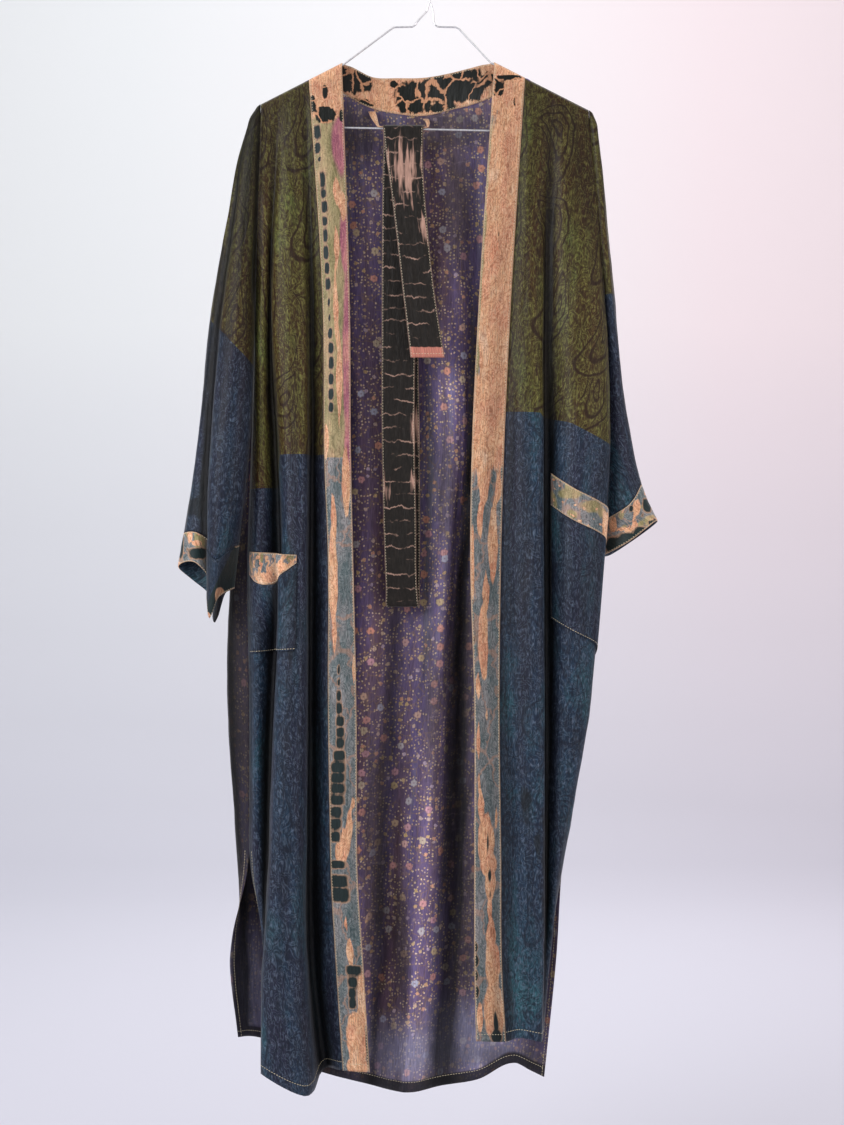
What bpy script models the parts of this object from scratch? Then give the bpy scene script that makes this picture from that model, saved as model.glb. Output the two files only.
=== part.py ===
"""Long open-front silk robe hanging on a wire hanger, its own belt folded over the hanger's bar.

The robe is made of the pieces that a maker cuts and sews: a back, two fronts, two sleeves with
cuff bands, front bands, a back-neck collar, two patch pockets with bands, a neck loop and a belt.
Each cloth piece is a thin wall on a surface that runs through fold lines. A fold line is one row
of a table: how far it lies to the side and towards the back at named heights, from the shoulder
down to the hem. The origin is the inside top of the hanger's hook, +Z up, the front faces -Y,
and the side names left and right are as seen from the front.
"""

import math
from collections import namedtuple

import bmesh
import bpy
from mathutils import Vector

MM = 0.001

CLOTH = 1.2 * MM  # wall of one layer of silk
BAND = 1.6 * MM  # doubled silk of bands, cuffs, collar and belt
RIBBON = 1.0 * MM  # the neck loop
SEAM = 0.3 * MM  # gap between two pieces that are sewn together
BAND_GAP = 0.8 * MM  # the same where a thick band meets a thin panel on a slanting seam
CUFF_GAP = 1.4 * MM  # and where a cuff meets its sleeve across deep folds
WIRE = 1.2 * MM  # radius of the hanger's wire
OVER_WIRE = WIRE + SEAM + BAND / 2  # middle of the cloth to the wire's middle, where it rests on it
RING = OVER_WIRE / MM
RISE = RING * 1.12  # the same straight up, as the arms slope
ON_PANEL = 2.0  # middle of a patch to the middle of the front that it lies on, in mm

# Levels within which the cloth takes up its own course again, below or beside what shapes it.
WIRE_FADES = 0.8  # below the hanger's wire
TIP_FADES = 0.1  # below the hanger's tip
CORNER_FADES = 0.3  # below a neck corner
CORNER_WRAPS = 0.4  # beside a neck corner, where the shoulder's turn over the wire ends
SLIT_FADES = 0.3  # below the top of a side slit
POCKET_FADES = 0.3  # from a pocket's side to its full stand

# Heights of the body's named levels below the hook, in mm.
UNDERARM, WAIST, HIP, THIGH, KNEE, CALF = -498, -650, -790, -968, -1158, -1298
BODY_LEVELS = (UNDERARM, WAIST, HIP, THIGH, KNEE, CALF)

# Straight arms of the hanger: (inner end x, inner end z, fall in mm for each mm outwards).
ARM_LEFT = (-107.0, -159.5, 0.509)
ARM_RIGHT = (80.0, -157.5, 0.508)
BAR_AT = (-105.0, -240.0, -0.0207)  # a point on the bar, and its slope
TIP_X = (-209.0, 200.0)  # centre of each rounded tip
TIP_RADIUS = 8.5

# A fold line of the body. x is its place at shoulder, underarm, waist, hip, thigh, knee, calf and
# hem; depth is its place front to back at underarm, hip, knee and hem; all in mm.
Fold = namedtuple("Fold", "hem x depth")
LEFT_FRONT = (
    Fold(-1431, (-109, -98, -97, -94, -90, -89, -81, -73), (-20, -25, -29, -32)),  # band's inner edge
    Fold(-1431, (-151, -132, -131, -126, -126, -123, -116, -107), (-15, -18, -21, -24)),  # band seam
    Fold(-1436, (-157, -146, -146, -148, -149, -149, -147, -130), (-4, 0, 4, 6)),  # trough
    Fold(-1453, (-165, -157, -157, -158, -158, -162, -159, -151), (-20, -34, -50, -58)),  # ridge
    Fold(-1425, (-181, -194, -181, -178, -186, -194, -202, -206), (-16, -32, -50, -60)),  # ridge's far edge
    Fold(-1428, (-189, -201, -195, -190, -199, -204, -208, -208), (0, 6, 0, -42)),  # deep trough
    Fold(-1422, (-200, -210, -210, -215, -217, -217, -208, -206), (-12, -14, -6, -14)),  # side ridge
    Fold(-1418, (-212, -220, -225, -230, -228, -228, -203, -202), (0, 6, 10, -2)),  # armhole, side seam
)
RIGHT_FRONT = (
    Fold(-1389, (204, 227, 229, 217, 199, 173, 148, 145), (6, 6, 2, -6)),  # armhole, side seam
    Fold(-1390, (193, 225, 230, 221, 205, 173, 152, 144), (-8, -10, -12, -16)),  # side fold
    Fold(-1390, (172, 178, 181, 180, 176, 163, 152, 144), (-22, -32, -24, -26)),  # soft bulge
    Fold(-1391, (155, 149, 148, 148, 149, 150, 146, 142), (-6, -6, -14, -38)),  # trough
    Fold(-1388, (147, 142, 142, 141, 142, 143, 143, 140), (-20, -38, -46, -50)),  # lapping ridge
    Fold(-1384, (136, 122, 118, 116, 115, 116, 116, 114), (-24, -34, -42, -46)),
    Fold(-1394, (123, 103, 96, 92, 90, 92, 93, 98), (-16, -20, -23, -26)),  # band seam
    Fold(-1392, (84, 62, 55, 53, 58, 58, 58, 60), (-20, -26, -29, -32)),  # band's inner edge
)
BACK = (
    Fold(-1400, (-212, -220, -225, -230, -228, -228, -253, -243), (0, 6, 10, 16)),  # armhole, side seam
    Fold(-1403, (-204, -214, -234, -252, -257, -247, -236, -229), (24, 26, 30, 32)),  # wraps to the front
    Fold(-1416, (-183, -196, -207, -215, -215, -213, -208, -202), (38, 44, 48, 50)),
    Fold(-1434, (-151, -162, -166, -169, -169, -169, -170, -175), (28, 34, 30, 32)),  # neck corner
    Fold(-1456, (-108, -110, -111, -114, -115, -118, -122, -129), (42, 50, 44, 46)),
    Fold(-1461, (-77, -76, -76, -77, -79, -83, -88, -98), (34, 34, 40, 36)),
    Fold(-1471, (-42, -40, -39, -40, -45, -54, -62, -72), (40, 46, 50, 48)),
    Fold(-1473, (-8, -1, 1, -4, -15, -28, -37, -51), (36, 38, 38, 36)),
    Fold(-1474, (31, 41, 39, 25, 13, 1, -11, -29), (26, 26, 26, 26)),  # crease down the middle
    Fold(-1472, (60, 62, 60, 49, 42, 37, 31, 18), (40, 46, 50, 50)),
    Fold(-1461, (86, 85, 83, 75, 71, 70, 69, 65), (36, 38, 42, 40)),
    Fold(-1437, (123, 126, 124, 119, 111, 108, 108, 111), (30, 34, 34, 30)),  # neck corner
    Fold(-1444, (165, 186, 186, 173, 157, 144, 139, 131), (32, 36, 30, 22)),
    Fold(-1448, (204, 227, 229, 217, 199, 173, 163, 148), (6, 6, 2, 6)),  # armhole, side seam
)
NECK_FIRST, NECK_LAST = 3, 11  # the back's fold lines at the two neck corners

# Back neck, one row for each of the back's fold lines between the neck corners: depth and height of
# the seam, then side, depth and height of the collar's free edge, in mm.
Neck = namedtuple("Neck", "seam_y seam_z edge_x edge_y edge_z")
COLLAR = (
    Neck(20, -195, -97, 14, -159),
    Neck(28, -209, -71, 28, -168),
    Neck(34, -216, -39, 36, -167),
    Neck(34, -219, -5, 34, -167),
    Neck(30, -212, 26, 26, -164),
    Neck(24, -206, 51, 18, -160),
    Neck(16, -198, 68, 9, -158),
)
CORNER_GAP = 0.035  # part of the collar's height left free where it turns onto the shoulder
CORNER_SPAN = 1.5  # fold lines over which that gap closes
COLLAR_LEAN = 2.5  # how far the middle of the collar bellies towards the back, in mm
CORNER_TURN = Vector((3, 14, -1.5))  # way in which the neck seam leaves the shoulder

# A fold line of a sleeve: where it starts round the hanger's arm in degrees (0 behind, 180 in
# front), height of its hem, then (x, depth) at the tip, below it, chest, underarm, elbow, forearm
# and hem. The armhole's two edges come from the body and go on as the underarm seam.
TIP_LEVEL, BELOW_TIP, CHEST = 0.02, 0.13, 0.46  # levels, as parts of the armhole's height
ELBOW, FOREARM = -612, -714
Line = namedtuple("Line", "start hem points")
SLEEVE_LEFT = (
    Line(148, -838, ((-214, -4), (-218, -9), (-222, -15), (-225, -24), (-226, -34), (-236, -40), (-263, -42))),
    Line(130, -862, ((-216, -4.5), (-222, -9), (-230, -17), (-240, -34), (-249, -46), (-257, -52), (-272, -48))),
    Line(116, -840, ((-217.5, -4), (-227, -8), (-240, -13), (-257, -28), (-267, -40), (-272, -46), (-276, -40))),
    Line(103, -806, ((-218.9, -3), (-230, -5), (-246, -4), (-269, -6), (-276, -8), (-279, -8), (-281, -10))),
    Line(94, -792, ((-219.8, -1.8), (-232, -3), (-250, -4), (-272, -6), (-284, -10), (-293, -12), (-295, -14))),
    Line(84, -798, ((-220.4, 0), (-232.6, 1), (-253, 4), (-279, 6), (-290, 6), (-304, 6), (-318, 4))),
    Line(66, -814, ((-219.5, 2), (-230, 6), (-251, 14), (-275, 20), (-286, 22), (-297, 20), (-302, 14))),
    Line(48, -831, ((-218, 3.5), (-226, 9), (-243, 22), (-262, 28), (-271, 28), (-280, 24), (-281, 12))),
    Line(30, -868, ((-215, 4), (-219, 10), (-231, 20), (-241, 17), (-246, 14), (-254, 8), (-268, -24))),
)
SLEEVE_RIGHT = (
    Line(30, -783, ((207, 4), (211, 9), (217, 22), (224, 38), (226, 48), (232, 54), (237, 56))),
    Line(58, -763, ((209.5, 3), (214, 9), (222, 28), (234, 50), (244, 58), (261, 62), (269, 60))),
    Line(84, -741, ((211, 0.8), (216.5, 3), (227, 16), (243, 30), (256, 36), (280, 36), (295, 32))),
    Line(112, -740, ((210.6, -1.6), (216.5, -3), (226, 2), (241, 12), (255, 14), (279, 10), (290, 6))),
    Line(146, -767, ((207.5, -3.8), (212, -7), (222, -5), (236, 2), (245, 4), (253, 0), (253, -6))),
)
# The underarm seams: hem, then (x, depth) at underarm, elbow, forearm and hem.
UNDERARM_LEFT = Line(0, -824, ((-222.8, 0), (-229, -1), (-238, -1), (-248, -5)))
UNDERARM_RIGHT = Line(0, -784, ((229.8, 6.5), (229, 20), (225, 24), (221, 22)))
UNDERARM_GAP = 2.8  # the sleeve's seam stands this far off the side seam at the underarm
TOP_GAP = 0.9  # and this far off the body where it bends over the hanger's tip
ARMHOLE = 12.0  # how far the armhole's front and back edges stand apart, half way down
CUFF_TALL = 46.0  # height of a cuff band
CUFF_MEAN = -808.0  # height that the folded left cuff's seam keeps towards, half way from its hem

# One side of the garment: its direction, the body's fold lines at its armhole and next to it, and
# its sleeve from the front round to the back.
Side = namedtuple("Side", "way front_seam front_near back_seam back_near front_line back_line under slit")
LEFT = Side(
    -1, LEFT_FRONT[-1], LEFT_FRONT[-2], BACK[0], BACK[1], SLEEVE_LEFT[0], SLEEVE_LEFT[-1], UNDERARM_LEFT, 5.0
)
RIGHT = Side(
    1, RIGHT_FRONT[0], RIGHT_FRONT[1], BACK[-1], BACK[-2], SLEEVE_RIGHT[-1], SLEEVE_RIGHT[0], UNDERARM_RIGHT, 5.2
)

# A pocket: fold numbers of its two sides, levels of its mouth and foot at each side, how far its
# mouth stands off, and the part of its height that the band takes, from side to side.
Pocket = namedtuple("Pocket", "sides mouth foot bulge band")
POCKET_LEFT = Pocket((10 / 3, 20 / 3), (2.95, 2.92), (3.63, 3.66), 16, (0.1, 0.22, 0.31, 0.33, 0.24))
POCKET_RIGHT = Pocket((1 / 3, 8 / 3), (2.68, 2.21), (3.7, 3.41), 16, (0.25, 0.25, 0.25, 0.25, 0.24))

# The belt from its front end over the hanger's bar, down to the turn and up again behind, as rows
# of (left edge x, right edge x, height, depth), in mm. The fold over the bar comes between.
BELT_FRONT = (
    (-22, 21, -534, -17),
    (-32, 8, -449, -15),
    (-42, -1, -361, -14),
    (-51, -6, -291, -11),
    (-56, -6, -256, -7.5),
)
BELT_REAR = (
    (-57, -8, -256, 7),
    (-58, -13, -306, 8),
    (-59, -15, -459, 8),
    (-59, -17, -624, 8),
    (-57, -15, -739, 9),
    (-54, -13, -836, 10),
    (-54, -12, -846, 11.5),
    (-53, -11, -849, 14),
    (-52, -10, -846, 16.5),
    (-51, -10, -834, 18),
    (-52, -10, -700, 18),
    (-53, -12, -520, 17),
    (-54, -14, -352, 16),
)
BELT_OVER = (-57, -6, 4.6)  # left and right ends of the fold over the bar, and its radius

# The neck loop from seam to seam, as rows of (x, depth, height, half width sideways, half width
# front to back), in mm. Its bottom lies on the hanger's bar.
NECK_LOOP = (
    (-72, 25.5, -213, 4.5, 0.5),
    (-69, 18, -222, 4, 1),
    (-65, 8, -233, 2, 1.8),
    (-62, 2, -238.2, 0.6, 2),
    (-59, 0.2, -238.9, 0, 2),
    (-56, 0, -239.0, 0, 2),
    (-32, 0, -239.5, 0, 2),
    (-7, 0, -240.0, 0, 2),
    (-4, 0.2, -239.9, 0, 2),
    (-1, 2, -239.0, 0.6, 2),
    (0, 9, -234, 1.8, 1.6),
    (-1, 20, -226, 3, 0.8),
    (-3, 31, -221, 3.5, 0.3),
)

HOOK_RADIUS = 21.0  # middle of the wire, round the rod it hangs on
NECK_X = 2.5  # the hook's shank, at the hanger's neck


def make_finish(name, hex_colour, rough, metallic=0.0):
    """A plain material with the piece's overall colour."""
    finish = bpy.data.materials.new(name)
    finish.use_nodes = True
    shader = finish.node_tree.nodes["Principled BSDF"]
    levels = [int(hex_colour[i : i + 2], 16) / 255 for i in (1, 3, 5)]
    shader.inputs["Base Color"].default_value = (*[c**2.2 for c in levels], 1.0)
    shader.inputs["Roughness"].default_value = rough
    shader.inputs["Metallic"].default_value = metallic
    return finish


def ease(t):
    """0 to 1 with soft ends."""
    t = min(1.0, max(0.0, t))
    return t * t * (3 - 2 * t)


def through(values, knots, place, first=None, last=None, held=None):
    """A smooth curve through values at rising knots.

    place counts stretches: 2.5 is half way from the third value to the fourth. first and last are
    the slopes at its ends, and held has the two slopes, before and after, of numbered values.
    """
    count = len(values) - 1
    k = min(int(max(place, 0.0)), count - 1)
    t = place - k

    def rate(i):
        return (values[i + 1] - values[i]) / (knots[i + 1] - knots[i])

    def slope(i, after):
        if held and i in held:
            return held[i][after]
        if i == 0:
            return rate(0) if first is None else first
        if i == count:
            return rate(count - 1) if last is None else last
        before, ahead = knots[i] - knots[i - 1], knots[i + 1] - knots[i]
        return (rate(i - 1) * ahead + rate(i) * before) / (before + ahead)

    length = knots[k + 1] - knots[k]
    t2 = t * t
    t3 = t2 * t
    return (
        values[k] * (2 * t3 - 3 * t2 + 1)
        + slope(k, 1) * (length * (t3 - 2 * t2 + t))
        + values[k + 1] * (3 * t2 - 2 * t3)
        + slope(k + 1, 0) * (length * (t3 - t2))
    )


def across(points, u, first=None, last=None, held=None):
    """A smooth curve through points, with knots by their distances, so slopes are unit vectors."""
    knots = [0.0]
    for a, b in zip(points, points[1:]):
        knots.append(knots[-1] + (b - a).length)
    return through(points, knots, u, first, last, held)


def bend(before, here, after):
    """The way in which a curve passes here on its way from before to after."""
    return ((here - before).normalized() + (after - here).normalized()).normalized()


def wire_height(x):
    """Height of the middle of the hanger's arm at x, in mm."""
    side = -1 if x < 0 else 1
    inner, height, fall = ARM_LEFT if side < 0 else ARM_RIGHT
    return height - fall * side * (x - inner)


def fold_place(fold, at, toward, top=None):
    """The point of a body's fold line at a level from 0 at its top to 7 at the hem, in mm.

    At the shoulder it lies on the wire, behind it if toward is 1 and before it if -1. top is the
    depth and height of its start instead.
    """
    start_y, start_z = top or (0.0, wire_height(fold.x[0]))
    knots = [-start_z, *[-level for level in BODY_LEVELS], -fold.hem]
    k = min(int(max(at, 0.0)), len(knots) - 2)
    drop = knots[k] + (knots[k + 1] - knots[k]) * (at - k)
    apart = (fold.x[5] - fold.x[4]) / (knots[5] - knots[4])
    x = through(fold.x, knots, at, held={5: (apart, apart)})
    deep = (start_y, *fold.depth)
    deep_knots = [knots[i] for i in (0, 1, 3, 5, 7)]
    j = min(sum(1 for knot in deep_knots[1:-1] if drop >= knot), 3)
    place = j + (drop - deep_knots[j]) / (deep_knots[j + 1] - deep_knots[j])
    apart = (deep[3] - deep[2]) / (deep_knots[3] - deep_knots[2])
    y = through(deep, deep_knots, place, held={3: (apart, apart)})
    return Vector((x, y + toward * RING * (1 - ease(at / WIRE_FADES)), -drop))


def armhole_level(side, z):
    """The level of the armhole's edge at height z."""
    top = wire_height(side.front_seam.x[0])
    return min(1.0, max(0.0, (top - z) / (top - UNDERARM)))


def armhole_edge(side, at, toward):
    """The armhole's front edge, toward -1, or back edge, toward 1, at a level down to the underarm."""
    fold = side.front_seam if toward < 0 else side.back_seam
    gap = ARMHOLE / 2 * math.sin(math.pi * at) if 0 < at < 1 else 0.0
    return fold_place(fold, at, toward) + Vector((0, toward * gap, 0))


def line_heights(side, line):
    """Heights of a sleeve line's stations, from the ring round the hanger's arm to the hem."""
    top = wire_height(side.front_seam.x[0])
    levels = [top - part * (top - UNDERARM) for part in (TIP_LEVEL, BELOW_TIP, CHEST, 1.0)]
    return [top + RISE * math.sin(math.radians(line.start)), *levels, ELBOW, FOREARM, line.hem]


def line_place(side, line, at):
    """The point of a sleeve's fold line at a station number."""
    heights = line_heights(side, line)
    x_top = side.front_seam.x[0] + side.way * TOP_GAP
    start = math.radians(line.start)
    points = [Vector((x_top, RING * math.cos(start)))]
    points += [Vector(point) for point in line.points]
    fall = (ARM_LEFT if side.way < 0 else ARM_RIGHT)[2]
    knots = [-z for z in heights]
    own = (points[1] - points[0]) / (knots[1] - knots[0])
    first = own.lerp(Vector((side.way / fall, 0)), math.sin(start) ** 2)
    flat = through(points, knots, at, first=first)
    k = min(int(max(at, 0.0)), len(heights) - 2)
    z = heights[k] + (heights[k + 1] - heights[k]) * (at - k)
    return Vector((flat.x, flat.y, z))


def edge_place(side, at, toward):
    """The sleeve's edge at a station number: along the armhole, then the underarm seam."""
    heights = line_heights(side, side.under)
    heights[0] = wire_height(side.front_seam.x[0])
    k = min(int(max(at, 0.0)), len(heights) - 2)
    z = heights[k] + (heights[k + 1] - heights[k]) * (at - k)
    if z > UNDERARM:
        level = armhole_level(side, z)
        p = armhole_edge(side, level, toward)
        off = UNDERARM_GAP * ease((level - 0.8) / 0.2) + TOP_GAP * (1 - ease(level / TIP_FADES))
        return Vector((p.x + side.way * off, p.y, z))
    points = [Vector(point) for point in side.under.points]
    flat = through(points, [-z for z in heights[4:]], at - 4)
    return Vector((flat.x, flat.y, z))


def at_height(side, line, z):
    """The point of a sleeve's fold line at height z, above the elbow."""
    heights = line_heights(side, line)
    k = next((i for i in range(4) if z > heights[i + 1]), 4)
    at = k + max(0.0, (heights[k] - z) / (heights[k] - heights[k + 1]))
    return line_place(side, line, at)


def level_with(p, z):
    """A point moved to height z."""
    return Vector((p.x, p.y, z))


def side_slope(side, at, points, toward):
    """The way in which a body panel meets its side: points are its own two next to the seam.

    It goes on into the sleeve above the underarm and into the other panel down to the slit.
    """
    seam, near = points
    own = (seam - near).normalized()
    if at <= 0:
        return own
    if at < 1:
        line = side.front_line if toward < 0 else side.back_line
        other = at_height(side, line, seam.z)
        held = ease(at / TIP_FADES)
    else:
        other = fold_place(side.back_near if toward < 0 else side.front_near, at, -toward)
        held = 1 - ease((at - side.slit) / SLIT_FADES)
    flat = bend(level_with(near, seam.z), seam, level_with(other, seam.z))
    way = Vector((flat.x, flat.y, own.z))
    return own.lerp(way, held)


def over_wire(p, v, toward, full=1.0):
    """Moves a point of the level of the wire up round it: v from 0 to -1 at the top."""
    turn = -v * math.pi / 2
    p.z += RISE * math.sin(turn)
    p.y += toward * RING * (math.cos(turn) - 1) * full
    return p


def sew_front(folds, side):
    """The middle surface of a front and its band: place(u, v), u along the fold lines.

    v goes from -1 on top of the hanger's arm to 0 in front of it and 7 at the hem.
    """

    def place(u, v):
        at = max(v, 0.0)
        points = [fold_place(fold, at, -1) for fold in folds]
        seam = -1 if side.way < 0 else 0
        if at < 1:
            points[seam] = armhole_edge(side, at, -1)
        if side.way < 0:
            p = across(points, u, last=side_slope(side, at, (points[-1], points[-2]), -1))
        else:
            p = across(points, u, first=-side_slope(side, at, (points[0], points[1]), -1))
        return (over_wire(p, v, -1) if v < 0 else p) * MM

    return place


def back_place(u, v):
    """The middle surface of the back, v from -1 at the shoulder and neck seams to 7 at the hem."""
    at = max(v, 0.0)
    points = []
    for k, fold in enumerate(BACK):
        row = COLLAR[k - NECK_FIRST - 1] if NECK_FIRST < k < NECK_LAST else None
        points.append(fold_place(fold, at, 0, (row.seam_y, row.seam_z)) if row else fold_place(fold, at, 1))
    if at < 1:
        points[0] = armhole_edge(LEFT, at, 1)
        points[-1] = armhole_edge(RIGHT, at, 1)
    corner = 1 - ease(at / CORNER_FADES)
    held = {}
    for k, way in ((NECK_FIRST, 1), (NECK_LAST, -1)):
        smooth = bend(points[k - 1], points[k], points[k + 1])
        before = (points[k] - points[k - 1]).normalized()
        after = (points[k + 1] - points[k]).normalized()
        turn = Vector((CORNER_TURN.x, way * CORNER_TURN.y, way * CORNER_TURN.z)).normalized()
        ways = (before, turn) if way > 0 else (turn, after)
        held[k] = tuple(smooth.lerp(w, corner) for w in ways)
    first = -side_slope(LEFT, at, (points[0], points[1]), 1)
    last = side_slope(RIGHT, at, (points[-1], points[-2]), 1)
    p = across(points, u, first=first, last=last, held=held)
    if v < 0:
        full = 1 - ease(min(u - NECK_FIRST, NECK_LAST - u) / CORNER_WRAPS)
        p = over_wire(p, v, 1, full)
    return p * MM


def collar_place(u, v):
    """The collar stands on the back's neck edge: v is 0 at its free edge and 1 at the seam."""
    ends = [Vector((x, 0, wire_height(x) + RISE)) for x in (LEFT_FRONT[0].x[0], RIGHT_FRONT[-1].x[0])]
    edge = [ends[0], *[Vector((r.edge_x, r.edge_y, r.edge_z)) for r in COLLAR], ends[1]]
    turn = CORNER_TURN.normalized()
    back = Vector((turn.x, -turn.y, -turn.z))
    top = across(edge, u - NECK_FIRST, first=turn, last=back)
    seam = back_place(u, -1.0) / MM
    corner = min(u - NECK_FIRST, NECK_LAST - u)
    v *= 1 - CORNER_GAP * (1 - ease(corner / CORNER_SPAN))
    along = (u - NECK_FIRST) / (NECK_LAST - NECK_FIRST)
    lean = Vector((0, COLLAR_LEAN, 0)) * math.sin(math.pi * v) * math.sin(math.pi * along)
    return (top.lerp(seam, v) + lean) * MM


def sew_sleeve(lines, side):
    """The middle surface of a sleeve, from one armhole edge round the arm to the other.

    v counts the stations from 0 at the shoulder to 5 at the elbow; 6 is the cuff seam, 7 the hem.
    """
    first_toward = side.way

    def section(u, v):
        points = [edge_place(side, v, first_toward)]
        points += [line_place(side, line, v) for line in lines]
        points.append(edge_place(side, v, -first_toward))
        seam, far = points[0], points[-1]
        out = Vector((side.way, 0, 0))
        starts = [
            ((points[1] - seam).normalized() + out).normalized(),
            ((far - points[-2]).normalized() - out).normalized(),
        ]
        if v <= 0:
            return across(points, u, first=starts[0], last=starts[1])
        loop = bend(level_with(points[-2], seam.z), seam, level_with(points[1], seam.z))
        ways = [loop, loop]
        if v < 4:
            level = armhole_level(side, seam.z)
            for k, toward in enumerate((first_toward, -first_toward)):
                body = fold_place(side.front_near if toward < 0 else side.back_near, level, toward)
                edge, own = (seam, points[1]) if k == 0 else (far, points[-2])
                flat = [level_with(p, seam.z) for p in (body, edge, own)]
                sewn = bend(*flat) if k == 0 else bend(*reversed(flat))
                sewn = starts[k].lerp(sewn, ease(level / TIP_FADES))
                ways[k] = sewn.lerp(loop, ease((level - 0.75) / 0.25))
        return across(points, u, first=ways[0], last=ways[1])

    def place(u, v):
        if v > 5:
            hem = section(u, 7.0).z
            seam_z = hem + CUFF_TALL
            if side.way < 0:
                seam_z += (CUFF_MEAN - hem) / 2
            if seam_z > FOREARM:
                cuff = 6 - (seam_z - FOREARM) / (ELBOW - FOREARM)
            else:
                cuff = 6 + (FOREARM - seam_z) / (FOREARM - hem)
            v = 5 + (v - 5) * (cuff - 5) if v < 6 else cuff + (v - 6) * (7 - cuff)
        return section(u, v) * MM

    return place


def frame_at(place, u, v, u_range, v_range):
    """A point of a surface with its two unit directions and its outward normal."""
    step = 1e-3
    u0, u1 = max(u_range[0], u - step), min(u_range[1], u + step)
    v0, v1 = max(v_range[0], v - step), min(v_range[1], v + step)
    along_u = (place(u1, v) - place(u0, v)).normalized()
    along_v = (place(u, v1) - place(u, v0)).normalized()
    return place(u, v), along_u, along_v, along_u.cross(along_v).normalized()


def build(name, bm, finish):
    """Turns a bmesh into a named object with its finish."""
    mesh = bpy.data.meshes.new(name)
    bmesh.ops.recalc_face_normals(bm, faces=bm.faces[:])
    bm.to_mesh(mesh)
    bm.free()
    mesh.shade_smooth()
    mesh.materials.append(finish)
    piece = bpy.data.objects.new(name, mesh)
    bpy.context.collection.objects.link(piece)
    return piece


def cloth_wall(name, place, us, vs, thick, finish, gap=SEAM):
    """A cloth wall: a grid on the surface place(u, v), given its thickness along the normals.

    Each edge is drawn in by half of a seam's gap.
    """
    columns, rows = len(us) - 1, len(vs) - 1
    bm = bmesh.new()
    bmesh.ops.create_grid(bm, x_segments=columns, y_segments=rows, size=1.0)
    outward = bm.verts.layers.float_vector.new("outward")
    for vert in bm.verts:
        i = round((vert.co.x + 1) / 2 * columns)
        j = round((vert.co.y + 1) / 2 * rows)
        p, along_u, along_v, normal = frame_at(place, us[i], vs[j], (us[0], us[-1]), (vs[0], vs[-1]))
        p += along_v.cross(normal).normalized() * gap / 2 * ((i == 0) - (i == columns))
        p += normal.cross(along_u).normalized() * gap / 2 * ((j == 0) - (j == rows))
        vert.co = p - normal * thick / 2
        vert[outward] = normal * thick
    made = bmesh.ops.extrude_face_region(bm, geom=bm.faces[:], use_keep_orig=True)
    for vert in made["geom"]:
        if isinstance(vert, bmesh.types.BMVert):
            vert.co += vert[outward]
    return build(name, bm, finish)


def steps(start, end, count):
    """count equal steps from start to end."""
    return [start + (end - start) * i / count for i in range(count + 1)]


def split_steps(knots, count):
    """Equal steps between neighbouring knots, count of them in each stretch."""
    places = [knots[0]]
    for a, b in zip(knots, knots[1:]):
        places += steps(a, b, count)[1:]
    return places


def pocket_place(panel, pocket):
    """A patch pocket on a front: s from side to side, t 0 at the mouth, 1 below the band, 2 at the foot."""

    def place(s, t):
        u = pocket.sides[0] + (pocket.sides[1] - pocket.sides[0]) * s
        top = pocket.mouth[0] + (pocket.mouth[1] - pocket.mouth[0]) * s
        low = pocket.foot[0] + (pocket.foot[1] - pocket.foot[0]) * s
        share = through(pocket.band, list(range(len(pocket.band))), s * (len(pocket.band) - 1))
        down = share * t if t < 1 else share + (1 - share) * (t - 1)
        p, _, _, normal = frame_at(panel, u, top + (low - top) * down, (0, 7), (0, 7))
        lie = p + normal * ON_PANEL * MM
        ends = [frame_at(panel, side, top, (0, 7), (0, 7)) for side in pocket.sides]
        chord = (ends[0][0].y * (1 - s) + ends[1][0].y * s) - ON_PANEL * MM
        hump = math.sin(math.pi * s)
        stand = Vector((lie.x, min(chord - pocket.bulge * MM * hump, lie.y), lie.z))
        return lie.lerp(stand, (1 - ease(down)) * ease(min(s, 1 - s) / POCKET_FADES))

    return place


def tube(name, points, radius, finish):
    """A round wire through points, in mm."""
    curve = bpy.data.curves.new(name, "CURVE")
    curve.dimensions = "3D"
    curve.bevel_depth = radius
    curve.bevel_resolution = 2
    curve.use_fill_caps = True
    spline = curve.splines.new("POLY")
    spline.points.add(len(points) - 1)
    for knot, place in zip(spline.points, points):
        knot.co = (*[c * MM for c in place], 1.0)
    wire = bpy.data.objects.new(name, curve)
    curve.materials.append(finish)
    bpy.context.collection.objects.link(wire)
    return wire


def arc(centre, radius, start, end, count):
    """Points round an arc in the plane of the hanger; angles in degrees, 0 to the right."""
    points = []
    for angle in steps(start, end, count):
        a = math.radians(angle)
        points.append((centre[0] + radius * math.cos(a), 0.0, centre[1] + radius * math.sin(a)))
    return points


def bar_height(x):
    """Height of the middle of the hanger's bar at x, in mm."""
    return BAR_AT[1] + BAR_AT[2] * (x - BAR_AT[0])


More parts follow.
